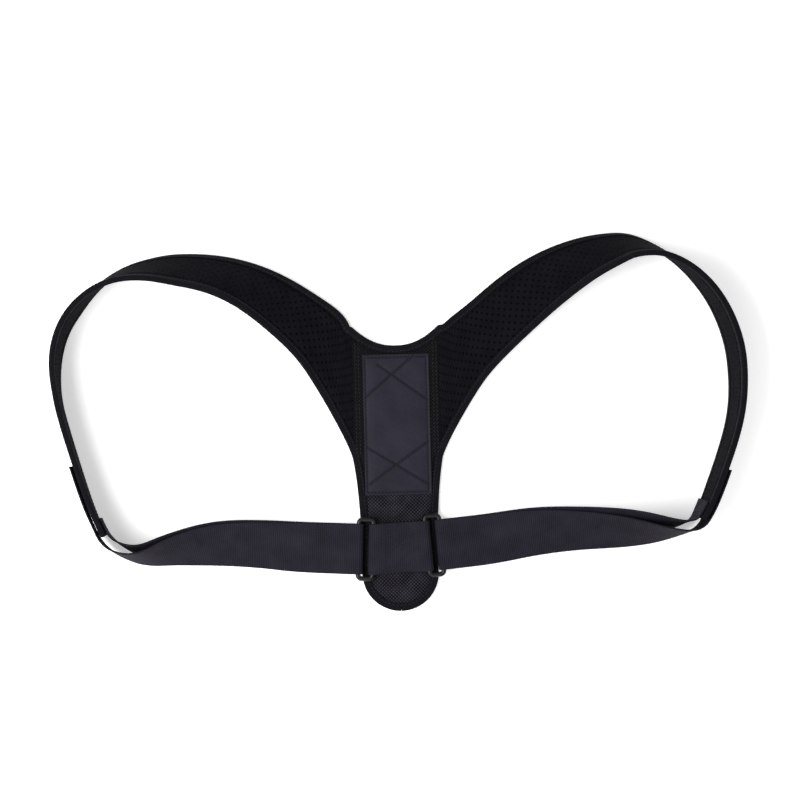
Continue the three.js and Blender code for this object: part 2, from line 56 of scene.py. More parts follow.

# %% [markdown]
# ## The harness in numbers
#
# The pattern pieces are cut from a few sizes, in millimetres, and the two loops lie in curves that short
# tables of shares describe. The same sizes and tables made the imported solids, so a finer piece
# made from them lands exactly where its solid is. Repeating them here is simpler than measuring a mesh.

# %% Sizes in millimetres
MM = 0.001
PANEL_WIDTH, PANEL_HEIGHT, NECK_POWER = 70, 210, 2.2
TAIL_WIDTH, TAIL_POWER = 59, 3
SEAM_ABOVE, SEAM_BELOW = 53.5, 50
CLOTH_THICK = 4.5
WING_WIDTH, WING_END_WIDTH, WING_LENGTH = 50, 44, 457
FLARE_LENGTH, NECK_FLARE_POWER, ARM_FLARE_POWER = 90, 2.9, 3.2
FAN_LENGTH, FAN_POWERS = 112, (1.5, 2)
TAPE_REACH, TAPE_THICK, TAPE_SINK = 5, 0.8, 0.1
PATCH_WIDTH, PATCH_HEIGHT, PATCH_THICK, PATCH_BELOW_NECK = 53, 112, 1, 6
STRAP_WIDTH, STRAP_THICK, STRAP_LAP = 40, 1.5, 14
TIP_LAP = {"left": 60, "right": 43}
TAB_LENGTH, TAB_THICK = 30, 0.8
RING_HEIGHT, RING_WIDTH, RING_BAR, RING_CORNER = 51, 15.5, 4, 3
BAR_OUT, RING_UP, WEB_WIDTH, WEB_SEWN_SHARE = 33, 50, 40, 0.2
REACH, RISE, CLEARANCE = 268.5, 233, 0.3
SAMPLES_PER_ROW, SMOOTH_PASSES = 16, 40

HALF_CLOTH, HALF_STRAP = CLOTH_THICK / 2, STRAP_THICK / 2
SEAM_OUT = (PANEL_WIDTH + CLEARANCE) / 2
TAPE_OUTSIDE = HALF_CLOTH - TAPE_SINK
TAPE_INSIDE = TAPE_OUTSIDE - TAPE_THICK
PRESSED_HALF = TAPE_INSIDE - CLEARANCE
PRESSED_REACH = TAPE_REACH + CLEARANCE
WRAP_RADIUS = RING_BAR / 2 + CLEARANCE + HALF_STRAP
RING_Z = CLOTH_THICK + CLEARANCE + HALF_STRAP + WRAP_RADIUS
STRAP_BEHIND_WING = HALF_CLOTH + 2 * CLEARANCE + HALF_STRAP
STRAP_BEFORE_WING = HALF_CLOTH + CLEARANCE + TAB_THICK + CLEARANCE + HALF_STRAP
UP = np.array([0.0, 0.0, 1.0])
print("cloth pressed under the tape, mm:", round(2 * PRESSED_HALF, 2), "ring above the floor, mm:", RING_Z)

# %% The lie of the two loops, as shares
# Shoulder rows: across (of the way from seam to REACH), up (of RISE above the rings), turn in degrees.
SHOULDER = {
    "right": [
        (0.0, 0.525, 0), (0.075, 0.64, 1), (0.15, 0.723, 4), (0.31, 0.862, 20),
        (0.465, 0.955, 42), (0.59, 0.998, 58), (0.66, 1.007, 68), (0.745, 0.988, 80),
        (0.82, 0.946, 87), (0.884, 0.886, 91), (0.937, 0.811, 93), (0.98, 0.71, 94), (1.001, 0.59, 94),
    ],
    "left": [
        (0.0, 0.525, 0), (0.072, 0.67, 2), (0.148, 0.765, 20), (0.298, 0.88, 39),
        (0.445, 0.942, 52), (0.585, 0.963, 60), (0.665, 0.965, 68), (0.746, 0.955, 75),
        (0.817, 0.928, 81), (0.872, 0.89, 86), (0.927, 0.831, 90), (0.972, 0.757, 89), (0.996, 0.66, 87),
    ],
}
# Strap rows: across, up, turn, apart and slide (shares of STRAP_WIDTH), lift (share of the ring's height).
STRAP = {
    "right": [
        (0.99, 0.41, 92, 0.2, 0.0, 0), (0.91, 0.18, 91, 0.2, 0.0, 0), (0.873, 0.098, 89, 0.21, 0.0, 0),
        (0.85, 0.065, 86, 0.2, 0.04, 0), (0.8, 0.048, 80, 0.18, 0.1, 0), (0.71, 0.042, 64, 0.14, 0.16, 0),
        (0.6, 0.045, 48, 0.09, 0.12, 0), (0.465, 0.049, 36, 0.06, 0.06, 0),
        (0.314, 0.043, 22, 0.06, 0.03, 0.1), (0.16, 0.021, 8, 0.07, 0.01, 0.5),
        (0.0, 0.008, 0, 0.12, 0.0, 1),
    ],
    "left": [
        (0.992, 0.545, 83, 0.2, 0.0, 0), (0.968, 0.434, 83, 0.2, 0.0, 0), (0.9, 0.2, 82, 0.2, 0.0, 0),
        (0.865, 0.11, 81, 0.21, 0.0, 0), (0.838, 0.055, 82, 0.2, 0.0, 0), (0.79, 0.018, 80, 0.19, 0.0, 0),
        (0.716, -0.002, 70, 0.14, 0.02, 0), (0.617, 0.014, 52, 0.07, 0.03, 0),
        (0.468, 0.028, 30, 0.06, 0.03, 0), (0.317, 0.021, 20, 0.06, 0.02, 0.1),
        (0.2, 0.009, 9, 0.07, 0.01, 0.4), (0.0, -0.001, 0, 0.12, 0.0, 1),
    ],
}
print("rows of each loop:", {side: len(SHOULDER[side]) + len(STRAP[side]) for side in SHOULDER})

# %% [markdown]
# ## Following a band
#
# A wing and its strap are one band that leaves the seam flat, turns up on edge round the shoulder and lies
# down again at its ring. A curve object with a tilt could carry it, but the solids were worked out from
# these rows, so the same arithmetic is used here: first smooth rows, then where the band's middle is, which
# way it faces and how wide it is at each distance from the seam.


# %% Follow a band from the seam, round the loop, to its ring
def mix(a, b, share):
    return a + (b - a) * share


def ease(value, start, end):
    t = np.clip((value - start) / (end - start), 0, 1)
    return t * t * (3 - 2 * t)


def unit(vectors):
    return vectors / np.linalg.norm(vectors, axis=-1, keepdims=True)


def smooth_rows(rows, at):
    """The rows of a table, joined by one smooth curve through them."""
    last = len(rows) - 1
    i = np.minimum(np.floor(at), last - 1).astype(int)
    a, b, c, d = (rows[np.clip(i + k, 0, last)] for k in (-1, 0, 1, 2))
    t = (at - i)[:, None]
    return b + 0.5 * t * (c - a + t * (2 * a - 5 * b + 4 * c - d + t * (3 * (b - c) + d - a)))


def evened(rows):
    """Sampled rows with their bends evened out, as cloth lies; the two ends stay."""
    for _ in range(SMOOTH_PASSES):
        rows = np.vstack([rows[:1], (rows[:-2] + 2 * rows[1:-1] + rows[2:]) / 4, rows[-1:]])
    return rows


def loop_of(side):
    """One side's middle line, sampled closely, with the distance from the seam at each sample."""
    at_wing = STRAP[side][0][3:]
    rows = [(mix(SEAM_OUT, REACH, x), RING_UP + RISE * y, turn, *at_wing) for x, y, turn in SHOULDER[side]]
    rows += [(mix(BAR_OUT, REACH, x), RING_UP + RISE * y, *rest) for x, y, *rest in STRAP[side]]
    rows = np.array(rows, float)
    at = np.arange((len(rows) - 1) * SAMPLES_PER_ROW + 1) / SAMPLES_PER_ROW
    samples = evened(smooth_rows(rows, at))
    steps = np.hypot(*np.diff(samples[:, :2], axis=0).T)
    along = np.concatenate([[0], np.cumsum(steps)])
    ends = np.vstack([samples[:1], samples, samples[-1:]])
    heading = np.unwrap(np.arctan2(ends[2:, 1] - ends[:-2, 1], ends[2:, 0] - ends[:-2, 0]))
    columns = dict(zip(("x", "y", "turn", "apart", "slide", "lift"), samples.T))
    return {**columns, "heading": heading, "along": along, "length": along[-1],
            "mirror": -1 if side == "left" else 1}


LOOPS = {side: loop_of(side) for side in ("left", "right")}
print("band lengths, mm:", {side: round(float(loop["length"]), 1) for side, loop in LOOPS.items()})


# %% Where a band is at each distance
def place_at(loop, along):
    """The band's middle, its direction towards the armhole, its half widths and its strap layers."""
    s = {name: np.interp(along, loop["along"], loop[name])
         for name in ("x", "y", "turn", "apart", "slide", "lift", "heading")}
    fan = (1 - np.minimum(along / FAN_LENGTH, 1) ** FAN_POWERS[0]) ** FAN_POWERS[1]
    flare = np.maximum(0, 1 - along / FLARE_LENGTH)
    half = mix(WING_WIDTH, WING_END_WIDTH, np.minimum(along / WING_LENGTH, 1)) / 2
    neck_half = mix(half, SEAM_ABOVE, flare ** NECK_FLARE_POWER)
    arm_half = mix(half, SEAM_BELOW, flare ** ARM_FLARE_POWER)
    aim = mix(s["heading"] - math.pi / 2, -math.pi / 2, fan)
    turn = np.radians(s["turn"])
    past_wing = ease(along, WING_LENGTH, WING_LENGTH + STRAP_WIDTH)
    on_wing = 1 - ease(along, WING_LENGTH, WING_LENGTH + STRAP_WIDTH / 2)
    near_bar = ease(along, loop["length"] - STRAP_WIDTH / 2, loop["length"])
    free = s["apart"] * STRAP_WIDTH / 2
    behind = mix(mix(free, STRAP_BEHIND_WING, on_wing), WRAP_RADIUS, near_bar)
    before = mix(mix(free, STRAP_BEFORE_WING, on_wing), WRAP_RADIUS, near_bar)
    half_width = mix(neck_half + CLEARANCE + TAPE_THICK, STRAP_WIDTH / 2, past_wing)
    half_thick = mix(HALF_CLOTH, behind + HALF_STRAP, past_wing)
    off_surface = CLEARANCE * ease(along, 0, WING_WIDTH) * (1 - past_wing)
    lifted = off_surface + s["lift"] * (CLOTH_THICK + CLEARANCE)
    z = lifted + half_width * np.sin(turn) + half_thick * np.abs(np.cos(turn))
    mirror = loop["mirror"]
    return {
        "middle": np.stack([mirror * s["x"], s["y"], z], 1),
        "across": np.stack([mirror * np.cos(aim) * np.cos(turn), np.sin(aim) * np.cos(turn),
                            np.sin(turn)], 1),
        "level": np.stack([mirror * np.cos(s["heading"]), np.sin(s["heading"]), 0 * turn], 1),
        "neck_half": neck_half, "arm_half": arm_half, "behind": behind, "before": before,
        "slide": s["slide"] * STRAP_WIDTH * (1 - on_wing) * (1 - near_bar), "along": along,
    }


def stations(loop, start, end, step=2.0):
    """Places in equal steps, with the way that the band heads and the direction out of its outer face."""
    count = max(2, round(abs(end - start) / step))
    along = np.linspace(start, end, count + 1)
    place = place_at(loop, along)
    before = place_at(loop, np.maximum(along - 1, 0))["middle"]
    after = place_at(loop, np.minimum(along + 1, loop["length"]))["middle"]
    at_ring = (along >= loop["length"] - 1e-6)[:, None]
    ahead = np.where(at_ring, place["level"], unit(after - before))
    out = unit(np.cross(place["across"], ahead) * loop["mirror"])
    out = np.where((along <= 0)[:, None], UP, out)
    return {**place, "ahead": ahead, "out": out}


patch_low, patch_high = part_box("spine_patch")
SHIFT = np.array([
    (patch_low.x + patch_high.x) / 2 / MM,
    patch_high.y / MM - (PANEL_HEIGHT - PATCH_BELOW_NECK),
    patch_low.z / MM - (CLOTH_THICK + CLEARANCE),
])
print("shift from the pattern to the packed part, mm:", SHIFT.round(2))

# %% [markdown]
# ## Camera, light and floor
#
# The harness was photographed from straight above on plain white. A long lens far away keeps the edges of
# the loops upright in view. The floor is a plain white board that glows faintly, like a light table, so the
# shadows on it stay pale. Large soft lamps give the even light of a product table, a little more of it from
# the left, so that black cloth keeps its own dark tone and only its weave catches some light.

# %% Camera straight above
camera_data = bpy.data.cameras.new("camera")
camera = bpy.data.objects.new("camera", camera_data)
bpy.context.scene.collection.objects.link(camera)
camera_data.sensor_width = 36
camera_data.lens = 78.75
camera.location = (0.0025, 0.0195, 1.4)
camera.rotation_euler = (0, 0, math.radians(-1.35))
bpy.context.scene.camera = camera
print("camera height, m:", camera.location.z)


# %% Floor, lamps and white surroundings
def linear(hex_colour):
    """An sRGB hex colour as linear RGBA."""
    parts = [int(hex_colour[i:i + 2], 16) / 255 for i in (0, 2, 4)]
    return [c / 12.92 if c <= 0.04045 else ((c + 0.055) / 1.055) ** 2.4 for c in parts] + [1]


def deselect_all():
    if bpy.context.object and bpy.context.object.mode != "OBJECT":
        bpy.ops.object.mode_set(mode="OBJECT")
    bpy.ops.object.select_all(action="DESELECT")


deselect_all()
bpy.ops.mesh.primitive_plane_add(size=14, location=(0, 0, -0.0004))
floor = bpy.context.object
floor.name = "floor"
bpy.ops.object.transform_apply(location=True)
floor_paint = bpy.data.materials.new("matt_white_board")
floor_paint.use_nodes = True
floor_shader = floor_paint.node_tree.nodes["Principled BSDF"]
floor_shader.inputs["Base Color"].default_value = linear("FAFAFA")
floor_shader.inputs["Roughness"].default_value = 0.9
floor_shader.inputs["Specular IOR Level"].default_value = 0.2
floor_shader.inputs["Emission Color"].default_value = (1, 1, 1, 1)
floor_shader.inputs["Emission Strength"].default_value = 0.3
floor.data.materials.append(floor_paint)


def add_lamp(name, place, size, power):
    """A square lamp that looks at the middle of the harness."""
    data = bpy.data.lights.new(name, "AREA")
    data.size, data.energy = size, power
    lamp = bpy.data.objects.new(name, data)
    lamp.location = place
    lamp.rotation_euler = (-Vector(place)).to_track_quat("-Z", "Y").to_euler()
    bpy.context.scene.collection.objects.link(lamp)


add_lamp("lamp_key", (-0.62, -0.1, 0.95), 0.7, 15)
add_lamp("lamp_fill", (1.5, 0.4, 1.1), 1.4, 9)
add_lamp("lamp_front", (-0.3, -1.4, 1.1), 1.2, 9)
world = bpy.data.worlds.new("white_room")
world.use_nodes = True
world.node_tree.nodes["Background"].inputs["Color"].default_value = (1, 1, 1, 1)
world.node_tree.nodes["Background"].inputs["Strength"].default_value = 0.52
bpy.context.scene.world = world
bpy.context.scene.view_settings.view_transform = "Standard"
print("lamps:", len(bpy.data.lights))

# %% [markdown]
# ## Finishes
#
# Five cloths, a thread and one plastic make up the harness, all nearly black, so the eye tells them apart
# by weave and sheen. A photographed texture would have one size for ever. Each pattern here is arithmetic
# on the piece's own map in millimetres, so it has its real pitch and follows the cloth round the loops.

# %% One helper adds a node with its settings and links
MATH, NOISE = "ShaderNodeMath", "ShaderNodeTexNoise"
# How far the "sewn" attribute darkens a pattern: painted shade along stitch lines, and a darker panel beside
# the patch.
SEWN_SHADE = 0.75


def add_node(tree, kind, *inputs, **settings):
    """inputs: constants, sockets or nodes, in the sockets' order or in pairs with a socket's name."""
    node = tree.nodes.new(kind)
    for name, value in settings.items():
        setattr(node, name, value)
    for socket, value in enumerate(inputs):
        if isinstance(value, tuple) and isinstance(value[0], str):
            socket, value = value
        if isinstance(value, bpy.types.Node):
            value = value.outputs[0]
        if isinstance(value, bpy.types.NodeSocket):
            tree.links.new(value, node.inputs[socket])
        else:
            node.inputs[socket].default_value = value
    return node


def new_finish(name, roughness, specular, sheen=0.0):
    finish = bpy.data.materials.new(name)
    finish.use_nodes = True
    shader = finish.node_tree.nodes["Principled BSDF"]
    shader.inputs["Roughness"].default_value = roughness
    shader.inputs["Specular IOR Level"].default_value = specular
    shader.inputs["Sheen Weight"].default_value = sheen
    shader.inputs["Sheen Roughness"].default_value = 0.5
    print("finish:", name)
    return finish, finish.node_tree, shader


def tone_and_raise(tree, shader, tone, dark, light, over=(0, 1), relief=None, relief_mm=0):
    """Colours a finish between two hex tones over a range of its pattern, and raises its relief."""
    ramp = add_node(tree, "ShaderNodeValToRGB", tone)
    for stop, place, colour in zip(ramp.color_ramp.elements, over, (dark, light)):
        stop.position, stop.color = place, linear(colour)
    tree.links.new(ramp.outputs[0], shader.inputs["Base Color"])
    if relief:
        bump = add_node(tree, "ShaderNodeBump", ("Height", relief), ("Distance", relief_mm * MM))
        tree.links.new(bump.outputs[0], shader.inputs["Normal"])


# %% Helpers that draw a weave in millimetres
def cloth_map(tree):
    """The piece's own map in millimetres, and its numbers along and across the cloth."""
    uv = add_node(tree, "ShaderNodeUVMap", uv_map="cloth")
    place = add_node(tree, "ShaderNodeVectorMath", uv, (1 / MM, 1 / MM, 1 / MM), operation="MULTIPLY")
    parts = add_node(tree, "ShaderNodeSeparateXYZ", place)
    return place, parts.outputs[0], parts.outputs[1]


def wave(tree, value, pitch_mm):
    """A smooth rise and fall from 0 to 1 with the given pitch."""
    turned = add_node(tree, MATH, value, 2 * math.pi / pitch_mm, operation="MULTIPLY")
    sine = add_node(tree, MATH, turned, operation="SINE")
    return add_node(tree, MATH, sine, 0.5, 0.5, operation="MULTIPLY_ADD")


def laid_over(tree, one, one_share, other, other_share):
    """The sum of two patterns, each with its share."""
    rest = add_node(tree, MATH, other, other_share, operation="MULTIPLY")
    return add_node(tree, MATH, one, one_share, rest, operation="MULTIPLY_ADD")


def painted_seam_shade_and_tone(tree, tone):
    """Darkens a pattern by the piece's own "sewn" attribute: painted shade where stitches draw the cloth
    down, and a darker tone on the panel beside the patch.
    """
    sewn = add_node(tree, "ShaderNodeAttribute", attribute_name="sewn").outputs["Fac"]
    kept = add_node(tree, MATH, sewn, -SEWN_SHADE, 1.0, operation="MULTIPLY_ADD")
    return add_node(tree, MATH, tone, kept, operation="MULTIPLY")


# %% [markdown]
# ### Perforated neoprene
#
# The padding is neoprene foam faced with a fine black knit and pricked with small breathing holes. Dull
# yarn drinks the light, so it is the deepest black of the harness. The knit's loops, under a millimetre
# apart, are drawn coarser so that they show as a soft grain. The holes are a millimetre and a half wide,
# painted as dark dots for the black foam and the shade inside them.

# %% Neoprene with a knit face and staggered holes
HOLE_ROW = 3.5


def make_neoprene():
    finish, tree, shader = new_finish("knit_faced_neoprene", 0.95, 0.04)
    place, u, v = cloth_map(tree)
    grain = add_node(tree, MATH, wave(tree, u, 1.6), wave(tree, v, 1.1), operation="MULTIPLY")
    row = add_node(tree, MATH, add_node(tree, MATH, v, HOLE_ROW, operation="DIVIDE"), operation="FLOOR")
    odd_row = add_node(tree, MATH, row, 1.0, operation="PINGPONG")
    shifted = add_node(tree, MATH, odd_row, HOLE_ROW, u, operation="MULTIPLY_ADD")
    near_u = add_node(tree, MATH, shifted, HOLE_ROW, operation="PINGPONG")
    raised_v = add_node(tree, MATH, v, 1000 * HOLE_ROW, operation="ADD")
    in_row = add_node(tree, MATH, raised_v, HOLE_ROW, operation="MODULO")
    near_v = add_node(tree, MATH, in_row, HOLE_ROW / 2, operation="SUBTRACT")
    offset = add_node(tree, "ShaderNodeCombineXYZ", near_u, near_v)
    off = add_node(tree, "ShaderNodeVectorMath", offset, operation="LENGTH").outputs["Value"]
    # Each hole is painted as a dark dot, the black foam and the shade inside it; the relief sinks it.
    solid = add_node(tree, "ShaderNodeMapRange", off, 0.5, 1.15, 0.0, 1.0, interpolation_type="SMOOTHSTEP")
    blotch = add_node(tree, NOISE, ("Vector", place), ("Scale", 0.05), ("Detail", 3.0))
    tone = add_node(tree, MATH, laid_over(tree, grain, 0.55, blotch, 0.6), solid, operation="MULTIPLY")
    relief = add_node(tree, MATH, grain, 0.25, solid, operation="MULTIPLY_ADD")
    tone_and_raise(tree, shader, tone, "020203", "17161C", (0.05, 0.9), relief, 0.5)
    return finish


NEOPRENE = make_neoprene()

# %% [markdown]
# ### Binding tape
#
# The edges are bound with a plain woven nylon tape. Its yarn is smoother than the knit and packed closer,
# so it looks a shade lighter than the padding, with a faint sheen and fine cross ribs.


# %% Woven nylon tape
def make_binding():
    finish, tree, shader = new_finish("woven_nylon_binding", 0.85, 0.05, 0.01)
    place, u, v = cloth_map(tree)
    weave = laid_over(tree, wave(tree, u, 1.3), 0.7, wave(tree, v, 1.0), 0.3)
    mottle = add_node(tree, NOISE, ("Vector", place), ("Scale", 0.12), ("Detail", 2.0))
    tone = laid_over(tree, mottle, 0.5, weave, 0.5)
    tone_and_raise(tree, shader, tone, "050507", "16151A", (0.1, 0.9), weave, 0.22)
    return finish


BINDING = make_binding()

# %% [markdown]
# ### Webbing
#
# Straps of this kind are woven of polyester with a bold weft rib every 1.5 mm. The warp that shows between
# the ribs catches the light as fine short dashes, which makes webbing the greyest of the black cloths.

# %% Ribbed polyester webbing
RIB = 1.5


def make_webbing():
    finish, tree, shader = new_finish("ribbed_polyester_webbing", 0.75, 0.035)
    place, u, v = cloth_map(tree)
    rib_number = add_node(tree, MATH, add_node(tree, MATH, u, RIB, operation="DIVIDE"), operation="FLOOR")
    stepped = add_node(tree, MATH, rib_number, 0.9, v, operation="MULTIPLY_ADD")
    weave = laid_over(tree, wave(tree, u, RIB), 0.65, wave(tree, stepped, 1.8), 0.35)
    mottle = add_node(tree, NOISE, ("Vector", place), ("Scale", 0.06), ("Detail", 3.0))
    tone = laid_over(tree, mottle, 0.5, weave, 0.55)
    tone_and_raise(tree, shader, tone, "0B0A0E", "2B2932", (0.1, 0.95), weave, 0.3)
    return finish


WEBBING = make_webbing()

# %% [markdown]
# ### Mesh on the panel
#
# The panel is faced with an open mesh of about 2 mm, laid on the bias. Its threads are light against the
# dark between them, so the tail looks speckled. Beside the patch the mesh is painted darker, so its speckle
# fades, and in the seams, where stitches draw the mesh down, painted shade darkens it.


# %% Bias-laid mesh
def make_mesh_cloth():
    finish, tree, shader = new_finish("bias_laid_mesh", 0.8, 0.07, 0.01)
    place, u, v = cloth_map(tree)
    one, other = [wave(tree, add_node(tree, MATH, u, v, operation=way), 2.8) for way in ("ADD", "SUBTRACT")]
    weave = add_node(tree, MATH, one, other, operation="MULTIPLY")
    mottle = add_node(tree, NOISE, ("Vector", place), ("Scale", 0.1), ("Detail", 3.0))
    tone = add_node(tree, MATH, laid_over(tree, mottle, 0.6, weave, 0.9), 0.15, operation="SUBTRACT")
    # The "sewn" attribute darkens the mesh: a darker tone beside the patch, and painted shade along the
    # seams.
    tone_and_raise(tree, shader, painted_seam_shade_and_tone(tree, tone), "040405", "34323B", (0.12, 1), weave, 0.35)
    return finish


MESH_CLOTH = make_mesh_cloth()

# %% [markdown]
# ### Satin
#
# The patch is satin, whose long floats of smooth yarn reflect softly in one piece. It is the lightest and
# bluest cloth of the harness, with faint streaks along its yarns and painted shade in dark lines where it is
# sewn down.


# %% Grey-violet satin
def make_satin():
    finish, tree, shader = new_finish("grey_violet_satin", 0.45, 0.08, 0.02)
    place, u, v = cloth_map(tree)
    rows = wave(tree, v, 0.9)
    streak = add_node(tree, NOISE, ("Vector", place), ("Scale", 0.35), ("Detail", 4.0))
    cloud = add_node(tree, NOISE, ("Vector", place), ("Scale", 0.03), ("Detail", 2.0))
    clouded = laid_over(tree, streak, 0.25, cloud, 0.5)
    # The stitch lines are painted darker, as painted shade where the satin is drawn down.
    tone = painted_seam_shade_and_tone(tree, add_node(tree, MATH, rows, 0.2, clouded, operation="MULTIPLY_ADD"))
    tone_and_raise(tree, shader, tone, "0A090E", "2A2834", (0.05, 0.8), rows, 0.08)
    return finish


SATIN = make_satin()

# %% [markdown]
# ### Hook tape, thread and acetal
#
# Hook tape is nylon with rows of tiny hooks, matt and bristly. Sewing thread is twisted polyester, a touch
# lighter than the cloth it lies on. The rings are moulded acetal, coloured right through and softly
# glossy, with a very fine spark texture from the mould.


# %% Hook tape, thread and moulded plastic
def make_hook_tape():
    finish, tree, shader = new_finish("nylon_hook_tape", 0.85, 0.1, 0.02)
    place, u, v = cloth_map(tree)
    hooks = add_node(tree, MATH, wave(tree, u, 1.2), wave(tree, v, 1.2), operation="MULTIPLY")
    tone_and_raise(tree, shader, hooks, "080809", "1B1A1E", relief=hooks, relief_mm=0.5)
    return finish


def make_thread():
    finish, tree, shader = new_finish("polyester_thread", 0.6, 0.15, 0.02)
    place = add_node(tree, "ShaderNodeTexCoord").outputs["Object"]
    twist = add_node(tree, NOISE, ("Vector", place), ("Scale", 900.0), ("Detail", 2.0))
    tone_and_raise(tree, shader, twist, "111015", "232229", (0.3, 0.7))
    return finish


def make_acetal():
    finish, tree, shader = new_finish("moulded_black_acetal", 0.32, 0.26)
    place = add_node(tree, "ShaderNodeTexCoord").outputs["Object"]
    spark = add_node(tree, NOISE, ("Vector", place), ("Scale", 2500.0), ("Detail", 3.0))
    tone_and_raise(tree, shader, spark, "060608", "0F0F12", relief=spark, relief_mm=0.03)
    return finish


HOOKS, THREAD, ACETAL = make_hook_tape(), make_thread(), make_acetal()

# %% [markdown]
# ## From sections to a piece
#
# Long cloth pieces that bend through space are easiest to make as a row of cross sections, skinned like a
# sleeve. One helper takes the sections as a block of points, joins them with quads, maps each face in
# millimetres along and round the cloth, closes the ends and turns the faces outwards.


# %% Skin a row of sections, or place a flat grid
def finish_mesh(name, bm, material, sharp=35):
    bmesh.ops.recalc_face_normals(bm, faces=bm.faces)
    data = bpy.data.meshes.new(name)
    bm.to_mesh(data)
    bm.free()
    piece = bpy.data.objects.new(name, data)
    bpy.context.scene.collection.objects.link(piece)
    data.materials.append(material)
    deselect_all()
    piece.select_set(True)
    bpy.context.view_layer.objects.active = piece
    bpy.ops.object.shade_smooth_by_angle(angle=math.radians(sharp))
    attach(piece, "root")
    return piece


def skin(name, sections, along, around, material, ring=False, sharp=35):
    """sections: (stations, points, 3) of the pattern; along and around: map lengths, all in mm."""
    bm = bmesh.new()
    layer = bm.loops.layers.uv.new("cloth")
    rows, size = sections.shape[:2]
    grid = [[bm.verts.new(p) for p in row] for row in (sections + SHIFT) * MM]
    around = np.broadcast_to(around, (rows, size + 1))
    for k in range(rows if ring else rows - 1):
        n = (k + 1) % rows
        for i in range(size):
            j = (i + 1) % size
            face = bm.faces.new((grid[k][i], grid[k][j], grid[n][j], grid[n][i]))
            mapped = ((along[k], around[k][i]), (along[k], around[k][i + 1]),
                      (along[k + 1], around[n][i + 1]), (along[k + 1], around[n][i]))
            for corner, (a, b) in zip(face.loops, mapped):
                corner[layer].uv = (a * MM, b * MM)
    if not ring:
        bm.faces.new(grid[0])
        bm.faces.new(grid[-1][::-1])
    return finish_mesh(name, bm, material, sharp)


def pattern_points(piece):
    """Where a piece's vertices are in pattern millimetres."""
    return np.array([v.co[:] for v in piece.data.vertices]) / MM - SHIFT


def set_painted_darkening(piece, values):
    """Stores how much darker the cloth is painted at each vertex, from 0 to 1: painted shade along stitch
    lines, and a darker tone beside the patch.
    """
    layer = piece.data.attributes.new("sewn", "FLOAT", "POINT")
    layer.data.foreach_set("value", np.clip(values, 0, 1).astype(np.float32))


def lengths(points):
    """The running length along a row of points."""
    return np.concatenate([[0], np.cumsum(np.linalg.norm(np.diff(points, axis=0), axis=1))])


# %% [markdown]
# ## Edge paths
#
# Tape and stitches follow the cut edges. An edge runs from one wing's end, over the panel, to the other
# wing's end, so tape can be laid on in one length as on the real harness. At each point of an edge the
# direction square to the cloth and the way out past the edge are kept.


# %% The panel's outline and the edges of the whole harness
SEAM_Y = RING_UP + RISE * SHOULDER["right"][0][1]
NECK_TOP, SEAM_FOOT = SEAM_Y + SEAM_ABOVE, SEAM_Y - SEAM_BELOW


def neck_height(x):
    """How high the panel's neck edge is at a place across it."""
    return mix(PANEL_HEIGHT, NECK_TOP, np.abs(x / (PANEL_WIDTH / 2)) ** NECK_POWER)


def neck_side(count=44):
    x = np.linspace(-PANEL_WIDTH / 2, PANEL_WIDTH / 2, count + 1)
    return np.stack([x, neck_height(x)], 1)


def tail_side(mirror, straight=30, round_steps=20):
    """From the seam's foot down the side and round to the middle of the tail's bottom."""
    radius = TAIL_WIDTH / 2
    share = np.linspace(0, 1, straight + 1)
    side = np.stack([mix(radius, PANEL_WIDTH / 2, (1 - share) ** TAIL_POWER),
                     mix(SEAM_FOOT, radius, share)], 1)
    angle = np.linspace(0, math.pi / 2, round_steps + 1)[1:]
    bottom = np.stack([radius * np.cos(angle), radius * (1 - np.sin(angle))], 1)
    return np.vstack([side, bottom]) * (mirror, 1)


def level(outline):
    return np.column_stack([outline, np.full(len(outline), HALF_CLOTH)])


def edge_of(place, sign):
    half = place["arm_half"] if sign > 0 else -place["neck_half"]
    return place["middle"] + place["across"] * half[:, None]


def edge_path(points, inward):
    """inward is nan where the cloth is level."""
    steps = unit(np.diff(points, axis=0))
    along = np.vstack([steps[:1], steps[1:] + steps[:-1], steps[-1:]])
    face = unit(np.where(np.isnan(inward), UP, np.cross(np.nan_to_num(inward, nan=1.0), along)))
    return {"point": points, "face": face, "away": unit(np.cross(face, along)), "length": lengths(points)}


WINGS = {side: stations(loop, 0, WING_LENGTH) for side, loop in LOOPS.items()}


def wing_inward(place, sign):
    inward = -sign * place["across"].copy()
    inward[0] = np.nan
    return inward


def flat_inward(points):
    return np.full((len(points), 3), np.nan)


neck_line, tail_right, tail_left = level(neck_side()), level(tail_side(1)), level(tail_side(-1))
NECK_EDGE = edge_path(
    np.vstack([edge_of(WINGS["left"], -1)[::-1], neck_line[1:-1], edge_of(WINGS["right"], -1)]),
    np.vstack([wing_inward(WINGS["left"], -1)[::-1], flat_inward(neck_line[1:-1]),
               wing_inward(WINGS["right"], -1)]),
)
ARM_EDGE = edge_path(
    np.vstack([edge_of(WINGS["right"], 1)[::-1], tail_right[1:], tail_left[1:-1][::-1],
               edge_of(WINGS["left"], 1)]),
    np.vstack([wing_inward(WINGS["right"], 1)[::-1], flat_inward(tail_right[1:]),
               flat_inward(tail_left[1:-1]), wing_inward(WINGS["left"], 1)]),
)
WING_ROWS = {side: len(place["along"]) for side, place in WINGS.items()}
TAIL_MIDDLE = WING_ROWS["right"] + len(tail_right) - 2
print("neck edge, mm:", round(float(NECK_EDGE["length"][-1])), "arm edges, mm:",
      round(float(ARM_EDGE["length"][-1])))

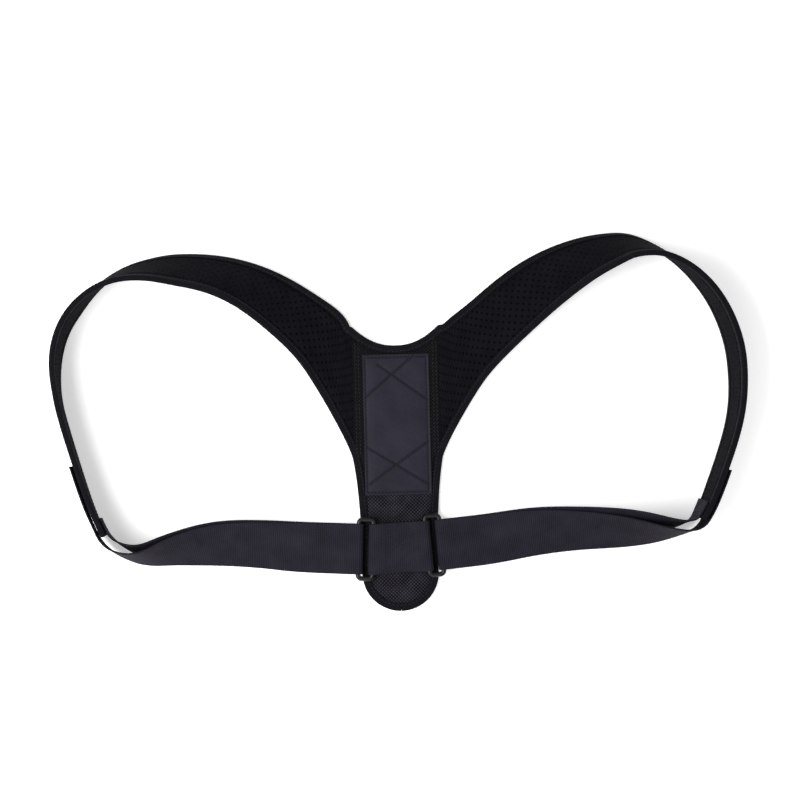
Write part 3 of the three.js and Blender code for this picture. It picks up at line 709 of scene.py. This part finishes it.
# %% [markdown]
# ## Padded wings
#
# A wing is two faces of knit on foam, cut as one band and pressed thin where the tape is sewn over its
# edges. The foam swells just inside the tape and crowns very slightly towards the middle, and the sewing
# gathers it into small puckers. All this is small and regular, so it is worked into the section itself: a
# cloth simulation of a band 50 mm wide would take away its crisp pressed edges.


# %% Section of a padded wing
INSIDE = np.array([0, 1.5, 3, 4.4, 5.2, 5.7, 6.3, 7.2, 8.6, 10.5, 13, 16.5])
MOST_INSIDE = 0.42
PUCKER_HEIGHT, PUCKER_PITCH, SWELL, SEAM_DIP = 0.16, 7.3, 0.12, 0.28


def wing_sections(side):
    """Sections of a wing from the seam on, and their map lengths; INSIDE is how far its points lie in."""
    place = WINGS[side]
    neck_away, arm_away = NECK_EDGE["away"], ARM_EDGE["away"]
    if side == "left":
        neck_away, arm_away = neck_away[:WING_ROWS[side]][::-1], arm_away[-WING_ROWS[side]:]
    else:
        neck_away, arm_away = neck_away[-WING_ROWS[side]:], arm_away[:WING_ROWS[side]][::-1]
    square_neck, square_arm = [np.abs(np.sum(away * place["across"], 1)) for away in (neck_away, arm_away)]
    u_rows, half_rows = [], []
    for k, s in enumerate(place["along"]):
        neck, arm = -place["neck_half"][k], place["arm_half"][k]
        most = (arm - neck) * MOST_INSIDE / INSIDE[-1]
        near_neck = neck + INSIDE * min(1 / square_neck[k], most)
        near_arm = arm - INSIDE * min(1 / square_arm[k], most)
        middle = np.linspace(near_neck[-1], near_arm[-1], 9)[1:-1]
        u = np.concatenate([near_neck, middle, near_arm[::-1]])
        depth = np.minimum((u - neck) * square_neck[k], (arm - u) * square_arm[k])
        pucker = PUCKER_HEIGHT * math.sin(2 * math.pi * s / PUCKER_PITCH + 1.3 * math.sin(s / 11.0))
        rise = ease(depth, PRESSED_REACH - 0.2, PRESSED_REACH + 3.2)
        swell = SWELL * np.exp(-((depth - 8.5) / 3.0) ** 2)
        gather = pucker * np.exp(-((depth - 6.5) / 2.6) ** 2) * rise
        half = mix(PRESSED_HALF, HALF_CLOTH - 0.12, rise) + swell + gather
        at_seam = 1 - SEAM_DIP * math.exp(-(s / 2.2) ** 2)
        u_rows.append(u)
        half_rows.append(np.where(depth > PRESSED_REACH, np.maximum(half * at_seam, PRESSED_HALF), half))
    u, half = np.array(u_rows), np.array(half_rows)
    spread = place["middle"][:, None] + place["across"][:, None] * u[..., None]
    lower = spread - place["out"][:, None] * np.minimum(half, HALF_CLOTH)[..., None]
    upper = spread + place["out"][:, None] * half[..., None]
    around = np.concatenate([u, u[:, ::-1] + 200, u[:, :1] + 200], 1)
    return np.concatenate([lower, upper[:, ::-1]], 1), around


for side in ("left", "right"):
    sections, around = wing_sections(side)
    # The first section reaches the panel's side, so the floor's glow can't show through the seam.
    sections[0, :, 0] -= LOOPS[side]["mirror"] * (CLEARANCE - 0.02)
    piece = skin(f"padded_wing_{side}", sections, WINGS[side]["along"], around, NEOPRENE)
    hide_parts(f"wing_{side}")
    print(piece.name, "faces:", len(piece.data.polygons))

# %% [markdown]
# ## Binding tape
#
# Binding is a woven tape folded over the raw edge and sewn through with two rows of stitches. Folded tape
# is a soft U, rounder at its fold than a sheet of metal would be, and its two cut edges lie slightly proud
# of the cloth.


# %% Fold tape over an edge path
def tape_section():
    """One round of the folded tape: outside faces, round fold, inside faces."""
    fold = CLEARANCE + TAPE_THICK
    outer, inner = TAPE_OUTSIDE, TAPE_INSIDE
    bend = [(fold - outer * (1 - math.cos(a)) * 0.55, outer * math.sin(a))
            for a in np.linspace(math.pi / 2, -math.pi / 2, 11)]
    upper = [(-TAPE_REACH, outer - 0.12), (-TAPE_REACH + 0.25, outer), (-TAPE_REACH + 1.2, outer - 0.1),
             (-TAPE_REACH + 2.5, outer), (-1.3, outer), (-0.6, outer)]
    lower = [(x, -y) for x, y in reversed(upper)]
    inside = [(-TAPE_REACH, -inner), (CLEARANCE, -inner), (CLEARANCE, inner), (-TAPE_REACH, inner)]
    return np.array(upper + bend[1:-1] + lower + inside)


TAPE_OUTLINE = tape_section()


def add_tape(name, path, first=0, last=None, cut=None):
    """Tape over a stretch of an edge; cut: which end is cut square, and at which place across."""
    point, away, face = [path[key][first:last, None] for key in ("point", "away", "face")]
    sections = point + away * TAPE_OUTLINE[None, :, :1] + face * TAPE_OUTLINE[None, :, 1:]
    if cut is not None:
        end, x = cut
        sections[end, :, 0] = x
    around = lengths(np.vstack([TAPE_OUTLINE, TAPE_OUTLINE[:1]]))
    piece = skin(f"binding_{name}", sections, path["length"][first:last], around, BINDING,
                 sharp=50)
    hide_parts(f"tape_{name}")


add_tape("neck", NECK_EDGE)
add_tape("arm_right", ARM_EDGE, last=TAIL_MIDDLE + 1, cut=(-1, CLEARANCE / 2))
add_tape("arm_left", ARM_EDGE, first=TAIL_MIDDLE, cut=(0, -CLEARANCE / 2))
print("binding laid on three edges")

# %% [markdown]
# ## Spine panel
#
# The panel is a flat pad between the wings, faced with coarse mesh that shows below the patch. It is sewn
# to the wings along two straight seams, where its face dives into a groove. Its face is a grid of points
# that the outline trims, so pressing under the tape and along the seams can be shaped point by point.


# %% Grid of the panel's face
ELSEWHERE, SEAM_GROOVE, TAIL_RADIUS = 99, 0.75, TAIL_WIDTH / 2


def panel_grid(columns=54, rows=150):
    """Points of the panel's face in the plane, and half the cloth's thickness at each."""
    tail = tail_side(1, 60, 40)
    tail = tail[np.argsort(tail[:, 1])]
    share = np.linspace(-1, 1, columns + 1)
    share = np.sign(share) * np.abs(share) ** 0.85
    bottom = TAIL_RADIUS * (1 - np.sqrt(1 - share ** 2))
    down = 1 - (1 - np.linspace(0, 1, rows + 1)) ** 1.15
    y = mix(neck_height(share * PANEL_WIDTH / 2), bottom, down[:, None])
    half = np.where(y >= SEAM_FOOT, PANEL_WIDTH / 2, np.interp(y, tail[:, 1], tail[:, 0]))
    half = np.where(y < TAIL_RADIUS, TAIL_RADIUS, half)
    x = share * half
    steep = np.abs(x / (PANEL_WIDTH / 2)) ** (NECK_POWER - 1)
    slope = NECK_POWER * (NECK_TOP - PANEL_HEIGHT) / (PANEL_WIDTH / 2) * steep
    neck_depth = (neck_height(x) - y) / np.sqrt(1 + slope ** 2)
    side_depth = np.where((y < SEAM_FOOT) & (y >= TAIL_RADIUS), half - np.abs(x), ELSEWHERE)
    low_depth = np.where(y < TAIL_RADIUS, TAIL_RADIUS - np.hypot(x, TAIL_RADIUS - y), ELSEWHERE)
    depth = np.minimum(np.minimum(neck_depth, side_depth), low_depth)
    seam = PANEL_WIDTH / 2 - np.abs(x)
    groove = SEAM_GROOVE * np.exp(-(seam / 1.3) ** 2) * ease(y, SEAM_FOOT - 2, SEAM_FOOT + 2)
    rise = ease(depth, PRESSED_REACH - 0.2, PRESSED_REACH + 2.6)
    half_thick = np.maximum(mix(PRESSED_HALF, HALF_CLOTH - 0.05, rise) - groove * rise, 0.9)
    return np.stack([x, y], -1), half_thick


# %% Two faces of the panel, joined round the rim
panel_plane, panel_half = panel_grid()
rows, columns = panel_half.shape
bm = bmesh.new()
uv = bm.loops.layers.uv.new("cloth")
sheets = []
for sign in (1, -1):
    heights = HALF_CLOTH + sign * panel_half
    spots = (np.concatenate([panel_plane, heights[..., None]], 2) + SHIFT) * MM
    sheet = [[bm.verts.new(p) for p in row] for row in spots]
    sheets.append(sheet)
    for k in range(rows - 1):
        for i in range(columns - 1):
            bm.faces.new((sheet[k][i], sheet[k][i + 1], sheet[k + 1][i + 1], sheet[k + 1][i]))
upper, lower = sheets
for k in range(rows - 1):
    for i in (0, columns - 1):
        bm.faces.new((upper[k][i], upper[k + 1][i], lower[k + 1][i], lower[k][i]))
for i in range(columns - 1):
    for k in (0, rows - 1):
        bm.faces.new((upper[k][i], upper[k][i + 1], lower[k][i + 1], lower[k][i]))
for face in bm.faces:
    for corner in face.loops:
        corner[uv].uv = (corner.vert.co.x, corner.vert.co.y)
panel = finish_mesh("mesh_faced_panel", bm, MESH_CLOTH)
x, y, _ = pattern_points(panel).T
# Painted darkening of the mesh: a darker tone beside the patch, and painted shade in the seam grooves.
beside_patch = ease(y, PANEL_HEIGHT - PATCH_BELOW_NECK - PATCH_HEIGHT - 3, SEAM_FOOT - 6)
in_seam = np.exp(-((PANEL_WIDTH / 2 - np.abs(x)) / 1.5) ** 2) * (y > SEAM_FOOT)
set_painted_darkening(panel, 0.8 * beside_patch + 0.4 * in_seam)
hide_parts("spine_panel")
print(panel.name, "faces:", len(panel.data.polygons))

# %% [markdown]
# ## Satin patch
#
# The patch is a strip of satin with its edges turned under, sewn down round its rim and again with two
# diagonal crosses. Between the stitch lines the satin puffs up a little over the padding, and along them
# it is drawn down, which is what makes the quilted diamonds catch the light.

# %% Stitch lines of the patch, as shares of its width and height
RIM_STITCH_IN, PATCH_PUFF, PATCH_RIPPLE, PATCH_DRAW = 2.2, 0.35, 0.06, 0.42
PATCH_LOW_Y = PANEL_HEIGHT - PATCH_BELOW_NECK - PATCH_HEIGHT
PATCH_LINES = [
    [(-0.49, 0.70), (0.28, 1.0)],
    [(-0.28, 0.94), (0.49, 0.68)],
    [(-0.48, 0.34), (0.49, 0.06)],
    [(0.49, 0.37), (-0.44, 0.07)],
]


def patch_point(across, up):
    return np.array([across * (PATCH_WIDTH - 3), PATCH_LOW_Y + 1.5 + up * (PATCH_HEIGHT - 3)])


def away_from_line(points, start, end):
    span = end - start
    t = np.clip(((points - start) @ span) / (span @ span), 0, 1)
    return np.linalg.norm(points - (start + t[..., None] * span), axis=-1)


def patch_rim(x, y):
    """How far a place is inside the patch's nearest edge."""
    up = y - PATCH_LOW_Y
    return np.minimum(PATCH_WIDTH / 2 - np.abs(x), np.minimum(up, PATCH_HEIGHT - up))


def patch_drawn(x, y):
    """How far stitches draw the satin down at a place, from 0 to 1."""
    points = np.stack([x, y], -1)
    drawn = np.exp(-((patch_rim(x, y) - RIM_STITCH_IN) / 0.7) ** 2)
    for start, end in PATCH_LINES:
        off = away_from_line(points, patch_point(*start), patch_point(*end))
        drawn = np.maximum(drawn, np.exp(-(off / 1.1) ** 2))
    return drawn


def patch_height(x, y):
    """Height of the satin above its underside at a place."""
    rim, drawn = patch_rim(x, y), patch_drawn(x, y)
    ripple = PATCH_RIPPLE * np.sin(x / 3.1 + y / 7.0) * ease(rim, 3, 8)
    puff = PATCH_PUFF * ease(rim, 2, 9) + ripple
    return mix(PATCH_THICK / 2, PATCH_THICK + puff - PATCH_DRAW * drawn, ease(rim, 0, 0.6))


x_lines = np.linspace(-PATCH_WIDTH / 2, PATCH_WIDTH / 2, 74)
y_lines = np.linspace(PATCH_LOW_Y, PATCH_LOW_Y + PATCH_HEIGHT, 158)
grid_x, grid_y = np.meshgrid(x_lines, y_lines)
grid_z = CLOTH_THICK + CLEARANCE + patch_height(grid_x, grid_y)
deselect_all()
bpy.ops.mesh.primitive_grid_add(x_subdivisions=len(x_lines) - 1, y_subdivisions=len(y_lines) - 1, size=1)
patch = bpy.context.object
patch.name = "satin_patch"
spots = (np.stack([grid_x, grid_y, grid_z], -1).reshape(-1, 3) + SHIFT) * MM
patch.data.vertices.foreach_set("co", spots.ravel())
patch.data.uv_layers[0].name = "cloth"
for corner in patch.data.loops:
    patch.data.uv_layers[0].data[corner.index].uv = patch.data.vertices[corner.vertex_index].co.xy
bpy.ops.object.mode_set(mode="EDIT")
bpy.ops.mesh.select_all(action="SELECT")
bpy.ops.mesh.region_to_loop()
bpy.ops.mesh.extrude_region_move(TRANSFORM_OT_translate={"value": (0, 0, -PATCH_THICK / 2 * MM)})
bpy.ops.mesh.edge_face_add()
bpy.ops.mesh.select_all(action="SELECT")
bpy.ops.mesh.normals_make_consistent(inside=False)
bpy.ops.object.mode_set(mode="OBJECT")
bpy.ops.object.shade_smooth_by_angle(angle=math.radians(40))
patch.data.materials.append(SATIN)
x, y, _ = pattern_points(patch).T
# The stitch lines are also painted darker through the "sewn" attribute, as painted shade in the quilting
# grooves.
set_painted_darkening(patch, patch_drawn(x, y))
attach(patch, "root")
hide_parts("spine_patch")
print(patch.name, "faces:", len(patch.data.polygons))

# %% [markdown]
# ## Webbing straps
#
# A strap is one length of 40 mm webbing. It starts on the body side of the wing's end, passes under the
# outer bar of its ring, comes back up through it and ends on the outer face of the wing. Webbing bends only
# across its width, so it is modelled directly, as a thin strip with rounded selvedges.


# %% Webbing strip
def strip_outline(width, thick=STRAP_THICK, columns=10):
    """A thin strip with thicker, rounded selvedges."""
    half, top = width / 2, thick / 2
    u = np.concatenate([[-half, -half + 0.25, -half + 1.1, -half + 2.2],
                        np.linspace(-half + 4, half - 4, columns),
                        [half - 2.2, half - 1.1, half - 0.25, half]])
    v = np.concatenate([[top * 0.45, top * 0.9, top, top * 0.86], np.full(columns, top * 0.9),
                        [top * 0.86, top, top * 0.9, top * 0.45]])
    return np.concatenate([np.stack([u, -v], 1), np.stack([u[::-1], v[::-1]], 1)])


def on_frames(origin, sideways, outward, outline):
    """An outline set up at each station of a band."""
    return (origin[:, None] + sideways[:, None] * outline[None, :, :1]
            + outward[:, None] * outline[None, :, 1:])


def strip_around(outline):
    """Map lengths round a strip, its second face 100 mm on, so that the two faces differ."""
    size = len(outline) // 2
    u = outline[:size, 0]
    return np.concatenate([u, u[::-1] + 100, [u[0] + 100]])


STRAP_OUTLINE = strip_outline(STRAP_WIDTH)


def make_strap(side):
    loop = LOOPS[side]
    inner = stations(loop, WING_LENGTH - STRAP_LAP, loop["length"], 2.5)
    at = inner["middle"] - inner["out"] * inner["behind"][:, None] + inner["across"] * inner["slide"][:, None]
    parts = [on_frames(at, inner["across"], -inner["out"], STRAP_OUTLINE)]
    bar = {name: values[-1:] for name, values in inner.items()}
    angle = np.linspace(-math.pi / 2, math.pi / 2, 17)[1:-1, None]
    away = bar["ahead"] * np.cos(angle) + bar["out"] * np.sin(angle)
    spot = bar["middle"] + away * WRAP_RADIUS
    parts.append(on_frames(spot, np.repeat(bar["across"], len(spot), 0), away, STRAP_OUTLINE))
    outer = stations(loop, loop["length"], WING_LENGTH - TIP_LAP[side], 2.5)
    at = outer["middle"] + outer["out"] * outer["before"][:, None]
    parts.append(on_frames(at, outer["across"], outer["out"], STRAP_OUTLINE))
    sections = np.concatenate(parts)
    along = lengths(sections.mean(1))
    piece = skin(f"webbing_strap_{side}", sections, along, strip_around(STRAP_OUTLINE), WEBBING,
                 sharp=50)
    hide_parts(f"strap_{side}")
    return bar, outer, float(along[-1])


BARS, STRAP_OUTER = {}, {}
for side in ("left", "right"):
    BARS[side], STRAP_OUTER[side], strap_length = make_strap(side)
    print(f"strap {side}: {strap_length:.0f} mm of webbing")

# %% [markdown]
# ## Hook tape
#
# A short piece of hook tape is sewn under each strap's tip and grips the wing's knit face. Only its edges
# can be seen, so a thin plate with eased edges is enough, laid on the wing along the same path.


# %% Hook tabs under the strap tips
def make_tab(side):
    start = WING_LENGTH - TIP_LAP[side] + CLEARANCE
    half = WING_END_WIDTH / 2 - PRESSED_REACH - 1.5 - CLEARANCE
    place = stations(LOOPS[side], start, start + TAB_LENGTH, 1.5)
    u = np.array([-half, -half + 0.3, -half + 2, 0, half - 2, half - 0.3, half])
    top = TAB_THICK * np.array([0.6, 0.95, 1, 1, 1, 0.95, 0.6])
    outline = np.concatenate([np.stack([u, 0.05 + 0 * u], 1), np.stack([u[::-1], top[::-1]], 1)])
    at = place["middle"] + place["out"] * (HALF_CLOTH + CLEARANCE)
    piece = skin(f"hook_tape_{side}", on_frames(at, place["across"], place["out"], outline),
                 place["along"], strip_around(outline), HOOKS)
    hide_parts(f"hook_tab_{side}")


for side in ("left", "right"):
    make_tab(side)
print("hook tabs laid under both tips")

# %% [markdown]
# ## Rings and the short webbing
#
# The two rings are moulded rectangles of round bar. They are made as by hand: a flat rectangle loses its
# face, its corners are bevelled, and the outline becomes a curve with a round section. The short webbing
# between them is one band folded round both inner bars and sewn flat to the tail, so it bulges at the bars
# and dips to its box of stitches.


# %% Rings
def make_ring(side):
    bar = BARS[side]
    across, ahead, middle = bar["across"][0], bar["ahead"][0], bar["middle"][0]
    centre = middle + ahead * (RING_WIDTH - RING_BAR) / 2
    deselect_all()
    bpy.ops.mesh.primitive_plane_add(size=1)
    ring = bpy.context.object
    ring.name = f"acetal_ring_{side}"
    ring.data.vertices.foreach_set("co", [
        c for sx, sy in ((-1, -1), (1, -1), (-1, 1), (1, 1))
        for c in (centre + ahead * sx * (RING_WIDTH - RING_BAR) / 2
                  + across * sy * (RING_HEIGHT - RING_BAR) / 2 + SHIFT) * MM
    ])
    bpy.ops.object.mode_set(mode="EDIT")
    bpy.ops.mesh.select_all(action="SELECT")
    bpy.ops.mesh.delete(type="ONLY_FACE")
    bpy.ops.mesh.select_all(action="SELECT")
    bpy.ops.mesh.bevel(offset=RING_CORNER * MM, segments=7, affect="VERTICES")
    bpy.ops.object.mode_set(mode="OBJECT")
    bpy.ops.object.convert(target="CURVE")
    ring = bpy.context.object
    ring.data.bevel_depth = RING_BAR / 2 * MM
    ring.data.bevel_resolution = 5
    bpy.ops.object.convert(target="MESH")
    ring = bpy.context.object
    bpy.ops.object.mode_set(mode="EDIT")
    bpy.ops.mesh.select_all(action="SELECT")
    bpy.ops.mesh.remove_doubles(threshold=1e-5)
    bpy.ops.mesh.normals_make_consistent(inside=False)
    bpy.ops.object.mode_set(mode="OBJECT")
    bpy.ops.object.shade_smooth()
    ring.data.materials.clear()
    ring.data.materials.append(ACETAL)
    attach(ring, "root")
    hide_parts(f"ring_{side}")
    print(ring.name, "faces:", len(ring.data.polygons))


for side in ("left", "right"):
    make_ring(side)

# %% Short webbing folded round both rings
WEB_OUTLINE = strip_outline(WEB_WIDTH)
ends = {side: {
    "middle": BARS[side]["middle"][0] + BARS[side]["ahead"][0] * (RING_WIDTH - RING_BAR),
    "away": -BARS[side]["ahead"][0],
    "across": BARS[side]["across"][0],
} for side in BARS}
WEB_LOW, WEB_HIGH = RING_Z - WRAP_RADIUS, RING_Z + WRAP_RADIUS
WEB_SEWN = WEB_LOW + STRAP_THICK + CLEARANCE


def web_under(share):
    return np.full_like(share, WEB_LOW)


def web_height(share):
    return mix(WEB_SEWN, WEB_HIGH, ease(np.abs(2 * share - 1), WEB_SEWN_SHARE, 1))


def web_span(start, end, height, outward, steps=40):
    share = np.linspace(0, 1, steps + 1)[:, None]
    at = mix(start["middle"], end["middle"], share)
    at[:, 2] = height(share[:, 0])
    across = unit(mix(start["across"], end["across"], share))
    return on_frames(at, across, np.repeat(outward[None], len(at), 0), WEB_OUTLINE)


def web_wrap(end, start_angle, end_angle, steps=16):
    angle = np.linspace(start_angle, end_angle, steps + 1)[1:-1, None]
    out = end["away"] * np.cos(angle) + UP * np.sin(angle)
    return on_frames(end["middle"] + out * WRAP_RADIUS, np.repeat(end["across"][None], len(out), 0), out,
                     WEB_OUTLINE)


web_sections = np.concatenate([
    web_span(ends["left"], ends["right"], web_under, -UP),
    web_wrap(ends["right"], -math.pi / 2, math.pi / 2),
    web_span(ends["right"], ends["left"], web_height, UP),
    web_wrap(ends["left"], math.pi / 2, -math.pi / 2),
])
web_along = lengths(np.vstack([web_sections.mean(1), web_sections.mean(1)[:1]]))
web = skin("webbing_between_rings", web_sections, web_along, strip_around(WEB_OUTLINE), WEBBING,
           ring=True, sharp=50)
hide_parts("ring_web")
print("short webbing faces:", len(web.data.polygons))

# %% [markdown]
# ## Stitches
#
# Every seam is a lockstitch: short loops of thread that dive into the cloth and come up again a few
# millimetres on. One stitch is a bent bead of thread, a few dozen faces. It is laid again and again along
# each seam, just sunk into the cloth, and each group of rows becomes one piece.


# %% One stitch, and a row of them
def stitch_shape(length, thick=0.55, rings=5, sides=6):
    t = np.linspace(-1, 1, rings)
    angle = np.linspace(0, 2 * math.pi, sides, endpoint=False)
    swell = thick / 2 * np.sqrt(np.maximum(0.05, 1 - np.abs(t) ** 3))
    arch = 0.12 * (1 - t ** 2) - 0.08
    return np.array([[(tt * length / 2, s * math.cos(a), h + s * math.sin(a)) for a in angle]
                     for tt, s, h in zip(t, swell, arch)])


def stitch_row(bm, points, normals, pitch=3.2, length=2.2, thick=0.55):
    """Lays stitches along a line of pattern points on a surface whose directions out are given."""
    run = lengths(points)
    count = max(1, int(run[-1] / pitch))
    shape = stitch_shape(length, thick)
    rings, sides = shape.shape[:2]
    for k in range(count):
        s = (k + 0.5) * run[-1] / count
        at, ahead = [np.array([np.interp(s + d, run, points[:, c]) for c in range(3)]) for d in (0, 0.4)]
        back = np.array([np.interp(s - 0.4, run, points[:, c]) for c in range(3)])
        normal = unit(np.array([np.interp(s, run, normals[:, c]) for c in range(3)]))
        along = unit(ahead - back)
        side = unit(np.cross(normal, along))
        normal = np.cross(along, side)
        placed = at + shape[..., :1] * along + shape[..., 1:2] * side + shape[..., 2:] * normal
        verts = [[bm.verts.new((p + SHIFT) * MM) for p in ring] for ring in placed]
        for r in range(rings - 1):
            for i in range(sides):
                j = (i + 1) % sides
                bm.faces.new((verts[r][i], verts[r][j], verts[r + 1][j], verts[r + 1][i]))
        bm.faces.new(verts[0][::-1])
        bm.faces.new(verts[-1])
    return count


def offset_line(path, inward, height):
    """A line on the cloth beside an edge path, on its outer (positive height) or body face."""
    points = path["point"] - path["away"] * inward + path["face"] * height
    return points, path["face"] * math.copysign(1, height)


def sew(name, rows, slot, **sizes):
    bm = bmesh.new()
    count = sum(stitch_row(bm, *row, **sizes) for row in rows)
    finish_mesh(name, bm, THREAD, sharp=60)
    print(name, "stitches:", count)


# %% Stitches on the binding and along the panel's seams
TAPE_STITCH_IN = 3.6
tape_top = TAPE_OUTSIDE - 0.02
for name, path in (("neck", NECK_EDGE), ("arm", ARM_EDGE)):
    both_faces = [offset_line(path, TAPE_STITCH_IN, height) for height in (tape_top, -tape_top)]
    sew(f"stitches_{name}_binding", both_faces, "binding_tape")


def flat_line(start, end, height, count=24):
    share = np.linspace(0, 1, count)[:, None]
    flat = mix(np.array(start, float), np.array(end, float), share)
    heights = height(flat[:, 0], flat[:, 1]) if callable(height) else np.full(count, height)
    return np.column_stack([flat, heights]), np.repeat(UP[None], count, 0)


panel_top = CLOTH_THICK - 0.08
seam_rows = []
for sign in (-1, 1):
    for inset in (2.6, 5.4):
        x = sign * (PANEL_WIDTH / 2 - inset)
        seam_rows.append(flat_line((x, SEAM_FOOT + 2), (x, NECK_TOP - 14 + inset), panel_top))
sew("stitches_panel_seams", seam_rows, "padded_knit")


# %% Stitches that quilt the patch
def patch_top(x, y):
    return CLOTH_THICK + CLEARANCE + patch_height(x, y) + 0.05


rim_x = PATCH_WIDTH / 2 - RIM_STITCH_IN
rim_low, rim_high = PATCH_LOW_Y + RIM_STITCH_IN, PATCH_LOW_Y + PATCH_HEIGHT - RIM_STITCH_IN
patch_rows = [
    flat_line((-rim_x, rim_low), (-rim_x, rim_high), patch_top, 60),
    flat_line((rim_x, rim_low), (rim_x, rim_high), patch_top, 60),
    flat_line((-rim_x, rim_low), (rim_x, rim_low), patch_top, 30),
    flat_line((-rim_x, rim_high), (rim_x, rim_high), patch_top, 30),
]
patch_rows += [flat_line(patch_point(*a), patch_point(*b), patch_top, 60) for a, b in PATCH_LINES]
sew("stitches_patch", patch_rows, "satin_patch", pitch=2.8, length=1.9, thick=0.45)

# %% Box and cross of stitches on the short webbing
box_share, box_half = 0.62, WEB_WIDTH / 2 - 4


def web_point(share, across):
    left, right = ends["left"], ends["right"]
    at = mix(left["middle"], right["middle"], share)
    side = unit(mix(left["across"], right["across"], share))
    at = at + side * across
    return np.array([at[0], at[1], float(web_height(share)) + HALF_STRAP * 0.9])


def web_line(start, end, count=24):
    points = np.array([web_point(*mix(np.array(start), np.array(end), t)) for t in np.linspace(0, 1, count)])
    return points, np.repeat(UP[None], count, 0)


lo, hi = (1 - box_share) / 2, (1 + box_share) / 2
corners = [(lo, -box_half), (hi, -box_half), (hi, box_half), (lo, box_half)]
web_rows = [web_line(corners[k], corners[(k + 1) % 4]) for k in range(4)]
web_rows += [web_line(corners[0], corners[2]), web_line(corners[1], corners[3])]
sew("stitches_ring_webbing", web_rows, "webbing", pitch=2.9, length=2.1, thick=0.65)


# %% Bar of stitches across each strap's tip
def tip_rows(side):
    place = STRAP_OUTER[side]
    rows = []
    for back in (3.5, 28.0):
        k = int(np.argmin(np.abs(place["along"] - (WING_LENGTH - TIP_LAP[side] + back))))
        across = np.linspace(-STRAP_WIDTH / 2 + 3, STRAP_WIDTH / 2 - 3, 16)[:, None]
        at = (place["middle"][k] + place["across"][k] * across
              + place["out"][k] * (place["before"][k] + HALF_STRAP * 0.9))
        rows.append((at, np.repeat(place["out"][k][None], 16, 0)))
    return rows


sew("stitches_strap_tips", tip_rows("left") + tip_rows("right"), "webbing", pitch=2.9, length=2.0, thick=0.5)
